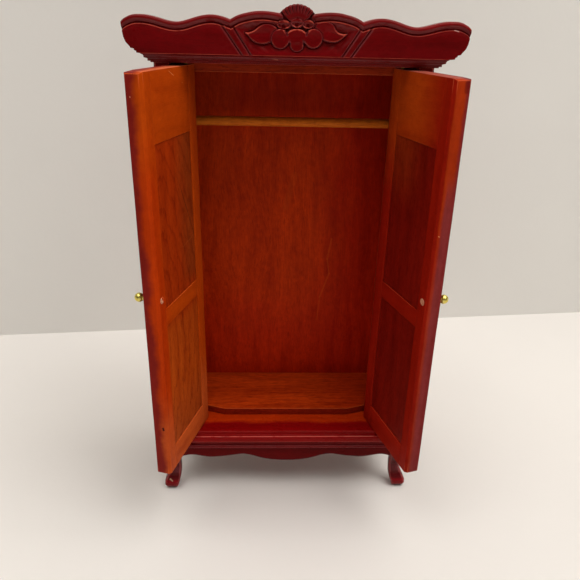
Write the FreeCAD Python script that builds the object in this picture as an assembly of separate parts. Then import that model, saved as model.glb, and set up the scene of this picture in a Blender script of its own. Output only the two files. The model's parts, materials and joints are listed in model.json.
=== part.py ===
import FreeCAD, Part
import math
import os
from FreeCAD import Vector

# Dolls-house wardrobe: a box carcass on four cabriole feet, a pediment with a
# wavy top on a stepped crown, and two frame-and-panel doors on vertical pins.
# Millimetres, +Z up from the floor, +X to the right of someone facing the
# doors, +Y to the back. Both doors stand open.
# Y is laid out from a working zero near the front and shifted at the end, so
# that the origin is the centre of the footprint with the doors open.
#
# A path is a start point followed by items, each of them
#   (a, b)                  a straight line to that point,
#   ((a, b), (a, b))        an arc through the first point to the second,
#   [(a, b), (a, b), ...]   a smooth curve through all the points.

os.makedirs("parts", exist_ok=True)

# ---- main dimensions --------------------------------------------------------
# heights
BASE_MOULD_BOTTOM = 19.4
BASE_BOARD_BOTTOM = 22.6
BASE_TOP = 26.5
CAP_BOTTOM = 151.2
CAP_TOP = 153.6
CROWN_SIDE_TOP = 158.2
TOTAL_H = 166.6

# carcass
CARCASS_HALF = 40.3      # half width over the side panels
SIDE_T = 5.0
SIDE_INNER = CARCASS_HALF - SIDE_T
BACK_FACE = 34.2         # inner face of the back panel
BACK_Y = 36.4            # rear face of the back panel

# doors; Y faces are those of a closed door
DOOR_W = 33.1
DOOR_T = 4.8
DOOR_GAP = 0.15          # half of the gap between the closed doors
DOOR_FRONT = 4.05        # outer face
DOOR_BACK = DOOR_FRONT + DOOR_T
DOOR_BOTTOM = 26.8
DOOR_TOP = 150.5
OPEN_DEG = 106.5         # angle of both doors at rest, from closed

# pivot pins
PIN_FROM_EDGE = 1.75     # pin axis to the hinge-side edge
PIN_FROM_INNER = 2.1     # pin axis to the inner face
PIN_R = 0.50
PIN_LEN = 7.0
PIN_OUT = 1.9            # length standing out of the door
PIN_IN = PIN_LEN - PIN_OUT
PIN_X = DOOR_W - PIN_FROM_EDGE + DOOR_GAP
PIN_Y = DOOR_BACK - PIN_FROM_INNER
PIN_HOLE_R = 0.55        # running holes in the base and cap boards
BASE_HOLE_DEPTH = 2.2
CAP_HOLE_DEPTH = 2.0
OVERCUT = 0.1            # how far a blind-hole cutter starts outside the face

# cutting and construction solids reach past every piece
FAR = 60.0
FAR_FRONT = -20.0


# ---- helpers ----------------------------------------------------------------
def box(x_min, x_max, y_min, y_max, z_min, z_max):
    corner = Vector(x_min, y_min, z_min)
    return Part.makeBox(x_max - x_min, y_max - y_min, z_max - z_min, corner)


def path_wire(path, place):
    """Closed wire along a path; place turns (a, b) into a 3D point."""
    edges = []
    start = current = path[0]
    for item in path[1:]:
        if isinstance(item, list):
            curve = Part.BSplineCurve()
            curve.interpolate([place(*current)] + [place(*point) for point in item])
            edges.append(curve.toShape())
            current = item[-1]
        elif isinstance(item[0], tuple):
            middle, end = item
            edges.append(Part.Arc(place(*current), place(*middle), place(*end)).toShape())
            current = end
        else:
            edges.append(Part.makeLine(place(*current), place(*item)))
            current = item
    if math.hypot(current[0] - start[0], current[1] - start[1]) > 1e-9:
        edges.append(Part.makeLine(place(*current), place(*start)))
    return Part.Wire(edges)


def prism_x(path, x_min, x_max):
    """A (y, z) path extruded along X."""
    wire = path_wire(path, lambda y, z: Vector(x_min, y, z))
    return Part.Face(wire).extrude(Vector(x_max - x_min, 0, 0))


def prism_y(path, y_min, y_max):
    """An (x, z) path extruded along Y."""
    wire = path_wire(path, lambda x, z: Vector(x, y_min, z))
    return Part.Face(wire).extrude(Vector(0, y_max - y_min, 0))


def prism_z(path, z_min, z_max):
    """An (x, y) path extruded along Z."""
    wire = path_wire(path, lambda x, y: Vector(x, y, z_min))
    return Part.Face(wire).extrude(Vector(0, 0, z_max - z_min))


def move_points(path, move):
    """The same path of lines and arcs with move(a, b) applied to each point."""
    return [tuple(move(*point) for point in item) if isinstance(item[0], tuple)
            else move(*item) for item in path]


def solid(shape):
    """Merge split faces and unwrap a single solid."""
    merged = shape.removeSplitter()
    return merged.Solids[0] if len(merged.Solids) == 1 else merged


def mirrored(shape):
    return shape.mirror(Vector(0, 0, 0), Vector(1, 0, 0))


# ---- base -------------------------------------------------------------------
BASE_SIDE_REACH = 1.43   # upper face of the base board, beyond each side panel
BASE_FRONT = -0.93       # front edge of the base board's upper face

# Edge profiles: (reach beyond the upper face's edge, drop below the piece's top)
BOARD_EDGE = [
    (0.0, 0.0), (0.0, 0.55), (0.25, 0.55),
    ((1.12, 0.92), (1.47, 1.9)),
    (1.47, 3.75), (1.32, BASE_TOP - BASE_BOARD_BOTTOM),
]
# cove above a bead
MOULD_EDGE = [
    (0.97, 0.0), (0.97, 0.25),
    ((0.62, 1.25), (0.47, 1.85)),
    (0.77, 1.95),
    ((1.17, 2.45), (0.77, 2.95)),
    (0.47, BASE_BOARD_BOTTOM - BASE_MOULD_BOTTOM),
]
MOULD_INNER_X = 38.2     # half width of the opening in the base moulding
MOULD_INNER_Y = 2.4      # front of that opening
MITRE_X = CARCASS_HALF + 4.6   # outer ends of the mitre cuts
MITRE_Y = -4.1


def edged_plate(edge, z_top, z_bottom):
    """Plate with the edge profile on the front and both sides.

    A front and a side prism are intersected, which mitres the profile.
    """
    front = move_points(edge, lambda reach, drop: (BASE_FRONT - reach, z_top - drop))
    side = move_points(edge, lambda reach, drop: (
        CARCASS_HALF + BASE_SIDE_REACH + reach, z_top - drop))
    half = prism_y([(0.0, z_top)] + side + [(0.0, z_bottom)], FAR_FRONT, BACK_Y)
    across = half.fuse(mirrored(half)).removeSplitter()
    along = prism_x([(BACK_Y, z_top)] + front + [(BACK_Y, z_bottom)], -FAR, FAR)
    return solid(along.common(across))


def base_board():
    board = edged_plate(BOARD_EDGE, BASE_TOP, BASE_BOARD_BOTTOM)
    for side in (-1, 1):
        board = board.cut(Part.makeCylinder(
            PIN_HOLE_R, BASE_HOLE_DEPTH + OVERCUT,
            Vector(side * PIN_X, PIN_Y, BASE_TOP - BASE_HOLE_DEPTH)))
    return solid(board)


def base_mouldings():
    """Front, left and right mouldings under the base board, mitred in front."""
    z_low, z_high = BASE_MOULD_BOTTOM - 1, BASE_BOARD_BOTTOM + 1
    ring = edged_plate(MOULD_EDGE, BASE_BOARD_BOTTOM, BASE_MOULD_BOTTOM)
    ring = ring.cut(box(-MOULD_INNER_X, MOULD_INNER_X, MOULD_INNER_Y, FAR, z_low, z_high))
    wedge = prism_z([(-MITRE_X, MITRE_Y), (MITRE_X, MITRE_Y),
                     (MOULD_INNER_X, MOULD_INNER_Y), (-MOULD_INNER_X, MOULD_INNER_Y)],
                    z_low, z_high)
    sides = ring.cut(wedge)
    return {
        "base_moulding_front": solid(ring.common(wedge)),
        "base_moulding_left": solid(sides.common(box(-FAR, 0, FAR_FRONT, FAR, 0, FAR))),
        "base_moulding_right": solid(sides.common(box(0, FAR, FAR_FRONT, FAR, 0, FAR))),
    }


# ---- aprons -----------------------------------------------------------------
APRON_T = 2.2
APRON_FRONT = -1.4       # face of the front apron
APRON_HALF = 38.7
SIDE_APRON_X = CARCASS_HALF + 1.9   # outer face of a side apron

# Lower edge of the front apron: (x, z), centre then right half
FRONT_SCALLOP_CENTRE = (0.0, 13.27)
FRONT_SCALLOP = [
    (3.0, 13.35), (6.2, 13.70), (9.4, 14.40), (12.4, 15.45), (14.6, 16.0),
    (16.4, 16.12), (18.6, 15.85), (21.5, 15.35), (25.0, 14.98), (28.2, 14.85),
    (31.4, 15.35), (34.2, 15.85), (36.2, 15.80), (APRON_HALF, 15.05),
]
# Lower edge of a side apron: (y, z), front to back
SIDE_SCALLOP = [
    (5.0, 15.0), (7.3, 15.7), (9.9, 16.0), (13.1, 15.0), (17.35, 14.1),
    (21.6, 15.0), (24.8, 16.0), (27.4, 15.7), (29.7, 15.0),
]


def scalloped_path(edge):
    """Straight top under the base moulding, smooth lower edge."""
    return [(edge[0][0], BASE_MOULD_BOTTOM), edge[0], edge[1:],
            (edge[-1][0], BASE_MOULD_BOTTOM)]


def front_apron():
    left_half = [(-x, z) for x, z in reversed(FRONT_SCALLOP)]
    edge = left_half + [FRONT_SCALLOP_CENTRE] + FRONT_SCALLOP
    return solid(prism_y(scalloped_path(edge), APRON_FRONT, APRON_FRONT + APRON_T))


def right_apron():
    return solid(prism_x(scalloped_path(SIDE_SCALLOP),
                         SIDE_APRON_X - APRON_T, SIDE_APRON_X))


# ---- feet -------------------------------------------------------------------
FOOT_X = 41.15
FOOT_Y_FRONT = 1.55
FOOT_Y_REAR = 33.2
FOOT_ROUNDING = 0.55     # corner radius as a share of the half size

# Foot sections, top to bottom: (z, lean along the 45 degree diagonal, half size)
FOOT_SECTIONS = [
    (BASE_MOULD_BOTTOM, 0.10, 2.35),
    (16.6, 0.45, 2.60),
    (13.6, 0.75, 2.68),
    (10.6, 0.45, 2.35),
    (7.6, 0.05, 2.00),
    (5.6, 0.30, 2.15),
    (3.4, 0.95, 2.85),
    (1.9, 1.15, 2.95),
    (0.0, 0.35, 2.15),
]
# Feet: (name, side in X, lean direction in Y, y)
# The rear feet lean sideways only, by the X share of the diagonal.
FEET = [
    ("front_left_foot", -1, -1, FOOT_Y_FRONT),
    ("front_right_foot", 1, -1, FOOT_Y_FRONT),
    ("rear_left_foot", -1, 0, FOOT_Y_REAR),
    ("rear_right_foot", 1, 0, FOOT_Y_REAR),
]


def rounded_square(x, y, z, half):
    """Horizontal square wire with rounded corners, centred on (x, y)."""
    radius = FOOT_ROUNDING * half
    inset = half - radius
    centres = [(inset, inset), (-inset, inset), (-inset, -inset), (inset, -inset)]

    def on_corner(index, degrees):
        centre_x, centre_y = centres[index % 4]
        angle = math.radians(degrees)
        return Vector(x + centre_x + radius * math.cos(angle),
                      y + centre_y + radius * math.sin(angle), z)

    edges = []
    for i in range(4):
        start = 90 * i
        end = start + 90
        arc_end = on_corner(i, end)
        edges.append(Part.Arc(on_corner(i, start), on_corner(i, start + 45), arc_end).toShape())
        edges.append(Part.makeLine(arc_end, on_corner(i + 1, end)))
    return Part.Wire(edges)


def foot(x, y, lean_x, lean_y):
    """Cabriole foot lofted along a bent centre line."""
    wires = []
    for z, lean, half in FOOT_SECTIONS:
        shift = lean / math.sqrt(2.0)
        wires.append(rounded_square(x + lean_x * shift, y + lean_y * shift, z, half))
    return solid(Part.makeLoft(wires, True, False))


# ---- carcass and fittings inside ----------------------------------------------
SIDE_CHAMFER = 0.6       # front corners of the side panels
FLOOR_T = 2.8
ROD_R = 1.49
ROD_CLEARANCE = 0.02
ROD_Y = 22.0
ROD_Z = 132.4
ROD_IN_SIDE = 1.4        # rod length let into each side panel
ROD_HOLE_DEPTH = 1.5
STOP_FRONT = 9.06        # front of the door stop rail and the floor board
STOP_RAIL_BOTTOM = 148.3
JAMB_INNER = 29.9
JAMB_FRONT = 9.6
JAMB_BACK = 12.4
# Front right corner cut of the floor board: (x, y)
FLOOR_CORNER = [(23.7, STOP_FRONT), (JAMB_INNER, 11.3)]


def right_side_panel():
    panel = prism_z([
        (SIDE_INNER, BACK_Y),
        (SIDE_INNER, DOOR_FRONT + SIDE_CHAMFER),
        (SIDE_INNER + SIDE_CHAMFER, DOOR_FRONT),
        (CARCASS_HALF - SIDE_CHAMFER, DOOR_FRONT),
        (CARCASS_HALF, DOOR_FRONT + SIDE_CHAMFER),
        (CARCASS_HALF, BACK_Y),
    ], BASE_TOP, CAP_BOTTOM)
    panel = panel.cut(Part.makeCylinder(
        ROD_R + ROD_CLEARANCE, ROD_HOLE_DEPTH + OVERCUT,
        Vector(SIDE_INNER - OVERCUT, ROD_Y, ROD_Z), Vector(1, 0, 0)))
    return solid(panel)


def back_panel():
    return box(-SIDE_INNER, SIDE_INNER, BACK_FACE, BACK_Y, BASE_TOP, CAP_BOTTOM)


def right_jamb_strip():
    return box(JAMB_INNER, SIDE_INNER, JAMB_FRONT, JAMB_BACK, BASE_TOP, CAP_BOTTOM)


def door_stop_rail():
    return box(-JAMB_INNER, JAMB_INNER, STOP_FRONT, JAMB_BACK, STOP_RAIL_BOTTOM, CAP_BOTTOM)


def floor_board():
    """Floor notched around the jamb strips, with cut front corners."""
    right = FLOOR_CORNER + [(JAMB_INNER, JAMB_BACK), (SIDE_INNER, JAMB_BACK),
                            (SIDE_INNER, BACK_FACE)]
    left = [(-x, y) for x, y in reversed(right)]
    return prism_z(right + left, BASE_TOP, BASE_TOP + FLOOR_T)


def hanging_rod():
    half = SIDE_INNER + ROD_IN_SIDE
    return Part.makeCylinder(ROD_R, 2 * half, Vector(-half, ROD_Y, ROD_Z), Vector(1, 0, 0))


# ---- cap, crown and pediment ----------------------------------------------------
CAP_FRONT = -0.2
CROWN_BOTTOM = 151.6
CROWN_INNER_X = 37.8     # inner face of the side crown above the cap board
PED_FRONT = -3.05
PED_BACK = 1.0
PED_FOOT_X = 42.45       # half width of the pediment's lower edge

# Crown at the sides: (x, z), from the carcass outwards and up
CROWN_LOWER = [
    (40.9, CROWN_BOTTOM), (40.9, 152.3), (41.8, 152.5), (41.8, 153.2),
    (42.5, 153.5), (42.5, CAP_TOP),
]
CROWN_UPPER = [(43.1, 153.9), (43.4, 154.3), (43.9, 154.45), (44.3, 155.05), (45.3, 155.75)]
CROWN_LIP = [(45.95, 156.7), (46.45, CROWN_SIDE_TOP)]
# Crown at the front: (y, z)
CROWN_FRONT = [
    (CAP_FRONT, CROWN_BOTTOM), (-1.0, CROWN_BOTTOM), (-1.0, 152.2), (-1.7, 152.3),
    (-1.7, 152.9), (-2.4, 153.0), (-2.4, CAP_TOP), (CAP_FRONT, CAP_TOP),
]
# Right half of the pediment outline above the lip: (x, z), from the end to the
# centre; each row is one smooth curve
PED_END = [(46.85, 159.9), (47.0, 161.3), (46.75, 161.9), (45.9, 162.35)]
PED_WAVE = [
    (44.4, 163.0), (42.2, 163.27), (39.9, 163.12), (37.0, 162.5), (34.4, 161.85),
    (32.4, 161.65), (30.4, 161.95), (27.4, 162.85), (25.0, 163.42), (23.1, 163.6),
    (21.0, 163.4), (19.2, 162.95), (18.0, 162.55),
]
PED_ARCH = [(16.4, 163.4), (14.0, 164.15), (11.6, 164.62), (9.4, 164.76),
            (7.2, 164.66), (5.4, 164.42)]
PED_CREST = [(4.4, 165.2), (2.6, 166.05), (1.2, 166.5), (0, TOTAL_H)]


def cap_board():
    board = box(-CARCASS_HALF, CARCASS_HALF, CAP_FRONT, BACK_Y, CAP_BOTTOM, CAP_TOP)
    for side in (-1, 1):
        board = board.cut(Part.makeCylinder(
            PIN_HOLE_R, CAP_HOLE_DEPTH + OVERCUT,
            Vector(side * PIN_X, PIN_Y, CAP_BOTTOM - OVERCUT)))
    return solid(board)


def crown_moulding_front():
    """Front steps, with the side steps shaping both ends."""
    steps = prism_x(CROWN_FRONT, -FAR, FAR)
    ends = prism_y([(0, CROWN_BOTTOM)] + CROWN_LOWER + [(0, CAP_TOP)], -10, 0)
    ends = ends.fuse(mirrored(ends)).removeSplitter()
    return solid(steps.common(ends))


def crown_moulding_right():
    """Full profile behind the pediment, lower steps carried on to the front."""
    lower = [(CARCASS_HALF, CROWN_BOTTOM)] + CROWN_LOWER
    full = lower + CROWN_UPPER + [
        CROWN_LIP, (CROWN_INNER_X, CROWN_SIDE_TOP), (CROWN_INNER_X, CAP_TOP),
        (CARCASS_HALF, CAP_TOP)]
    crown = prism_y(full, PED_BACK, BACK_Y)
    low_return = prism_y(lower + [(CARCASS_HALF, CAP_TOP)], CAP_FRONT, PED_BACK)
    return solid(crown.fuse(low_return))


def pediment_board():
    half_path = [(0, CAP_TOP), (PED_FOOT_X, CAP_TOP)] + CROWN_UPPER + [
        CROWN_LIP + PED_END, PED_WAVE, PED_ARCH, PED_CREST]
    half = prism_y(half_path, PED_FRONT, PED_BACK)
    return solid(half.fuse(mirrored(half)))


# ---- left door, modelled closed ---------------------------------------------------
HINGE_EDGE = -(DOOR_W + DOOR_GAP)
MEET_EDGE = -DOOR_GAP
HINGE_STILE_X = HINGE_EDGE + 5.2   # panel-side edge of the hinge stile
MEET_STILE_X = MEET_EDGE - 4.7     # panel-side edge of the meeting stile
HINGE_ROUND = 2.2        # outer corner, clears the side panel
HINGE_EASE = 0.3         # inner corner of the hinge edge
MEET_EASE = 0.25         # outer corner of the meeting edge
MEET_CHAMFER = 0.8       # inner corner of the meeting edge

BOTTOM_RAIL_TOP = 35.0
MID_RAIL_BOTTOM = 79.1
MID_RAIL_TOP = 84.6
TOP_RAIL_BOTTOM = 132.3

DOOR_MID_Y = DOOR_FRONT + DOOR_T / 2.0
GROOVE = 1.0             # depth of the panel groove in the frame
GROOVE_GAP = 0.05        # clearance at each side and at the end of a rail tongue
GROOVE_END = 1.5         # groove stops this far from the ends of a stile
TONGUE_T = 1.6
TONGUE_INSET = 0.2       # rail tongue end, from the groove or the groove's end
TONGUE_ROOT = 0.5        # overlap of a tongue into its rail
TONGUE_Y = (DOOR_MID_Y - TONGUE_T / 2.0, DOOR_MID_Y + TONGUE_T / 2.0)
GROOVE_Y = (TONGUE_Y[0] - GROOVE_GAP, TONGUE_Y[1] + GROOVE_GAP)

PANEL_TONGUE = GROOVE - 0.1
PANEL_GAP = 0.05         # around the panel's body
PANEL_RECESS = 0.30      # panel below the inner face of the frame
PANEL_BEVEL = 2.6        # width of the bevel on the outside
BEVEL_LOW_Y = DOOR_FRONT + 1.35
BEVEL_HIGH_Y = DOOR_FRONT + 0.35

KNOB_X = MEET_EDGE - 2.4
KNOB_Z = 88.5
KNOB_R = 1.38
KNOB_OUT = 2.35          # ball centre to the door's outer face
KNOB_NECK_R = 0.62
KNOB_COLLAR_R = 1.05
KNOB_SHANK_R = 0.50
KNOB_HOLE_R = 0.56
SHANK_PROUD = 0.12       # shank beyond the door's inner face


def stile_groove(x):
    """Cutter for the panel groove, centred on a stile's panel-side edge."""
    return box(x - GROOVE, x + GROOVE, *GROOVE_Y,
               DOOR_BOTTOM + GROOVE_END, DOOR_TOP - GROOVE_END)


def pin_at(z, radius, length):
    return Part.makeCylinder(radius, length, Vector(-PIN_X, PIN_Y, z))


def hinge_stile():
    arc_inset = HINGE_ROUND * (1 - math.sqrt(0.5))
    stile = prism_z([
        (HINGE_STILE_X, DOOR_FRONT),
        (HINGE_STILE_X, DOOR_BACK),
        (HINGE_EDGE + HINGE_EASE, DOOR_BACK),
        (HINGE_EDGE, DOOR_BACK - HINGE_EASE),
        (HINGE_EDGE, DOOR_FRONT + HINGE_ROUND),
        ((HINGE_EDGE + arc_inset, DOOR_FRONT + arc_inset),
         (HINGE_EDGE + HINGE_ROUND, DOOR_FRONT)),
    ], DOOR_BOTTOM, DOOR_TOP)
    stile = stile.cut(stile_groove(HINGE_STILE_X))
    for z in (DOOR_BOTTOM, DOOR_TOP - PIN_IN):
        stile = stile.cut(pin_at(z, PIN_R + 0.01, PIN_IN))
    return solid(stile)


def meeting_stile():
    stile = prism_z([
        (MEET_STILE_X, DOOR_FRONT),
        (MEET_EDGE - MEET_EASE, DOOR_FRONT),
        (MEET_EDGE, DOOR_FRONT + MEET_EASE),
        (MEET_EDGE, DOOR_BACK - MEET_CHAMFER),
        (MEET_EDGE - MEET_CHAMFER, DOOR_BACK),
        (MEET_STILE_X, DOOR_BACK),
    ], DOOR_BOTTOM, DOOR_TOP)
    stile = stile.cut(stile_groove(MEET_STILE_X))
    stile = stile.cut(Part.makeCylinder(
        KNOB_HOLE_R, DOOR_T + 2, Vector(KNOB_X, DOOR_FRONT - 1, KNOB_Z), Vector(0, 1, 0)))
    return solid(stile)


def rail(z_min, z_max, groove_low=True, groove_high=True):
    """Rail with a tongue into each stile and grooves on its panel edges."""
    tongue_z = (z_min + (GROOVE if groove_low else GROOVE_END) + TONGUE_INSET,
                z_max - (GROOVE if groove_high else GROOVE_END) - TONGUE_INSET)
    reach = GROOVE - GROOVE_GAP
    bar = box(HINGE_STILE_X, MEET_STILE_X, DOOR_FRONT, DOOR_BACK, z_min, z_max)
    bar = bar.fuse(box(HINGE_STILE_X - reach, HINGE_STILE_X + TONGUE_ROOT,
                       *TONGUE_Y, *tongue_z))
    bar = bar.fuse(box(MEET_STILE_X - TONGUE_ROOT, MEET_STILE_X + reach,
                       *TONGUE_Y, *tongue_z))
    cut_x = (HINGE_STILE_X - 5, MEET_STILE_X + 5)
    if groove_low:
        bar = bar.cut(box(*cut_x, *GROOVE_Y, z_min - 1, z_min + GROOVE))
    if groove_high:
        bar = bar.cut(box(*cut_x, *GROOVE_Y, z_max - GROOVE, z_max + 1))
    return solid(bar)


def door_panel(z_min, z_max):
    """Tongued panel: flat and slightly sunk inside, raised and fielded outside."""
    def inset(amount):
        return (HINGE_STILE_X + amount, MEET_STILE_X - amount,
                z_min + amount, z_max - amount)

    def slab(amount, y_min, y_max):
        left, right, low, high = inset(amount)
        return box(left, right, y_min, y_max, low, high)

    def outline(amount, y):
        left, right, low, high = inset(amount)
        return Part.makePolygon([Vector(left, y, low), Vector(right, y, low),
                                 Vector(right, y, high), Vector(left, y, high),
                                 Vector(left, y, low)])

    panel = slab(-PANEL_TONGUE, *TONGUE_Y)
    panel = panel.fuse(slab(PANEL_GAP, DOOR_MID_Y, DOOR_BACK - PANEL_RECESS))
    panel = panel.fuse(Part.makeLoft([outline(PANEL_GAP, BEVEL_LOW_Y),
                                      outline(PANEL_GAP + PANEL_BEVEL, BEVEL_HIGH_Y)],
                                     True, True))
    # body between the bevel and the middle of the door
    panel = panel.fuse(slab(PANEL_GAP, BEVEL_LOW_Y, DOOR_MID_Y + 0.1))
    return solid(panel)


def pivot_pins():
    return Part.makeCompound([pin_at(z, PIN_R, PIN_LEN)
                              for z in (DOOR_BOTTOM - PIN_OUT, DOOR_TOP - PIN_IN)])


def knob():
    """Turned ball on a neck with a collar, and a shank through the stile."""
    neck_end = -KNOB_OUT + KNOB_R * math.cos(math.asin(KNOB_NECK_R / KNOB_R))
    shank_end = DOOR_T + SHANK_PROUD
    # (radius, distance behind the door's outer face)
    profile = [
        (0.0, shank_end), (KNOB_SHANK_R, shank_end), (KNOB_SHANK_R, 0.0),
        (KNOB_COLLAR_R, 0.0), (KNOB_COLLAR_R, -0.30),
        (KNOB_NECK_R, -0.42), (KNOB_NECK_R, neck_end),
        ((KNOB_R, -KNOB_OUT), (0.0, -KNOB_OUT - KNOB_R)),
    ]
    wire = path_wire(profile, lambda radius, depth: Vector(
        KNOB_X + radius, DOOR_FRONT + depth, KNOB_Z))
    axis_point = Vector(KNOB_X, DOOR_FRONT, KNOB_Z)
    return solid(Part.Face(wire).revolve(axis_point, Vector(0, 1, 0), 360))


def door_pieces():
    return {
        "hinge_stile": hinge_stile(),
        "meeting_stile": meeting_stile(),
        "top_rail": rail(TOP_RAIL_BOTTOM, DOOR_TOP, groove_high=False),
        "mid_rail": rail(MID_RAIL_BOTTOM, MID_RAIL_TOP),
        "bottom_rail": rail(DOOR_BOTTOM, BOTTOM_RAIL_TOP, groove_low=False),
        "upper_panel": door_panel(MID_RAIL_TOP, TOP_RAIL_BOTTOM),
        "lower_panel": door_panel(BOTTOM_RAIL_TOP, MID_RAIL_BOTTOM),
        "pivot_pins": pivot_pins(),
        "knob": knob(),
    }


# ---- assemble, centre and write ---------------------------------------------------
pieces = {
    "base_board": base_board(),
    "front_apron": front_apron(),
    "back_panel": back_panel(),
    "door_stop_rail": door_stop_rail(),
    "floor_board": floor_board(),
    "hanging_rod": hanging_rod(),
    "cap_board": cap_board(),
    "crown_moulding_front": crown_moulding_front(),
    "pediment_board": pediment_board(),
}
pieces.update(base_mouldings())

for name, side, lean_y, foot_y in FEET:
    pieces[name] = foot(side * FOOT_X, foot_y, side, lean_y)

# right-hand pieces and their mirror images
for pattern, right in (("%s_apron", right_apron()),
                       ("%s_side_panel", right_side_panel()),
                       ("%s_jamb_strip", right_jamb_strip()),
                       ("crown_moulding_%s", crown_moulding_right())):
    pieces[pattern % "right"] = right
    pieces[pattern % "left"] = mirrored(right)

# swing the left door open on its pins; the right door mirrors it
for name, shape in door_pieces().items():
    shape.rotate(Vector(-PIN_X, PIN_Y, 0), Vector(0, 0, 1), -OPEN_DEG)
    pieces["left_door_" + name] = shape
    pieces["right_door_" + name] = mirrored(shape)

bounds = [shape.optimalBoundingBox(False, False) for shape in pieces.values()]
y_front = min(bound.YMin for bound in bounds)
y_rear = max(bound.YMax for bound in bounds)
y_shift = -round((y_front + y_rear) / 2.0, 3)

for name, shape in pieces.items():
    placed = shape.copy()
    placed.translate(Vector(0, y_shift, 0))
    placed.exportStep("parts/%s.step" % name)
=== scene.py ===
"""A miniature mahogany wardrobe: two open framed doors, a carved pediment, cabriole feet.

X runs to the right, Y to the back and Z up; the front faces -Y.  Sizes are in millimetres
in "toe" coordinates, where Y = 0 lies at the front toes.  SHIFT turns a toe Y into a frame Y
and MM turns millimetres into metres.
"""
import json
import math
from collections import namedtuple
import bmesh
import bpy
import numpy as np
from mathutils import Matrix, Vector


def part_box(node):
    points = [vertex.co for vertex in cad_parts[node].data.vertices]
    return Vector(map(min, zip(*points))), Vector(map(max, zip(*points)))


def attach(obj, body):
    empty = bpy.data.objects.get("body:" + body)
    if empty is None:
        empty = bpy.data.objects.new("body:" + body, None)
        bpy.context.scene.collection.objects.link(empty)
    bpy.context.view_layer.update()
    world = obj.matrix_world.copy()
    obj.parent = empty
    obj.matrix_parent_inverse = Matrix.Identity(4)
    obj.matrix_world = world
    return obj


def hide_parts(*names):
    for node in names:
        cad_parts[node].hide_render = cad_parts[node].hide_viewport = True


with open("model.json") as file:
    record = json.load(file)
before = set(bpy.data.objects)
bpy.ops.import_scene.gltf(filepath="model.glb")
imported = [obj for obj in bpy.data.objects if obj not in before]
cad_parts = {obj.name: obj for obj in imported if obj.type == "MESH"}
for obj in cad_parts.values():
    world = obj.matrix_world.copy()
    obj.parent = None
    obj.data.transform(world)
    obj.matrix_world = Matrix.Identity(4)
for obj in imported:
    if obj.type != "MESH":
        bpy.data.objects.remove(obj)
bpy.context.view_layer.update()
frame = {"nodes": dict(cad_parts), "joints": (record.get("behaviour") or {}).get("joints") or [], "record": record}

MM = 0.001
RIGHT, BACK, UP = Vector((1, 0, 0)), Vector((0, 1, 0)), Vector((0, 0, 1))

# ---------------------------------------------------------------------------
# Driving sizes
# ---------------------------------------------------------------------------
BACK_Y = 36.4
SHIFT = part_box("back_panel")[1].y / MM - BACK_Y
Box = namedtuple("Box", "x0 x1 y0 y1 z0 z1")


def box_mm(node):
    """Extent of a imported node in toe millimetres."""
    low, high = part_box(node)
    return Box(low.x / MM, high.x / MM, low.y / MM - SHIFT, high.y / MM - SHIFT,
               low.z / MM, high.z / MM)


CAP = box_mm("cap_board")
BASE = box_mm("base_board")
SIDE = box_mm("right_side_panel")
LEFT_SIDE_FRONT = box_mm("left_side_panel").y0
PEDIMENT = box_mm("pediment_board")

# doors: across runs from the hinge edge, depth from the inner face to the outer face
HINGE = {joint["child"]: joint for joint in frame["joints"]}["left_door"]
PIN = Vector(HINGE["pos_m"]) / MM
OPEN_ANGLE = math.radians(HINGE["range_deg"][1])
PIN_ACROSS, PIN_DEPTH = 1.75, 2.1
DOOR_W, DOOR_T = 33.1, 4.8
DOOR = box_mm("left_door_hinge_stile")
HINGE_STILE_W, MEETING_STILE_W = 5.2, 4.7
OPENING_0, OPENING_1 = HINGE_STILE_W, DOOR_W - MEETING_STILE_W
TOP_RAIL_Z, BOTTOM_RAIL_Z = 132.3, 35.0
MID_RAIL_Z0, MID_RAIL_Z1 = 79.1, 84.6

BODY = {node: body for body, members in frame["record"]["behaviour"]["bodies"].items()
        for node in members}
piece_random = np.random.RandomState(7)


def toe_point(x, y, z):
    """A point in toe millimetres as frame metres."""
    return Vector((x * MM, (y + SHIFT) * MM, z * MM))


def axes_matrix(origin, x_axis, y_axis, z_axis):
    """Placement from an origin in frame metres and three local axes."""
    matrix = Matrix((x_axis, y_axis, z_axis)).transposed().to_4x4()
    matrix.translation = origin
    return matrix


# ---------------------------------------------------------------------------
# Shader building
# ---------------------------------------------------------------------------
def srgb(*channels):
    return tuple(c / 255.0 / 12.92 if c / 255.0 <= 0.04045
                 else ((c / 255.0 + 0.055) / 1.055) ** 2.4 for c in channels)


def opaque(colour):
    """Adds alpha to a plain colour; a socket passes through."""
    return (*colour, 1.0) if isinstance(colour, tuple) else colour


def darker(tone, factor, hue):
    """A darker tone; hue scales green and blue once more."""
    return tone[0] * factor, tone[1] * factor * hue, tone[2] * factor * hue


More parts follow.
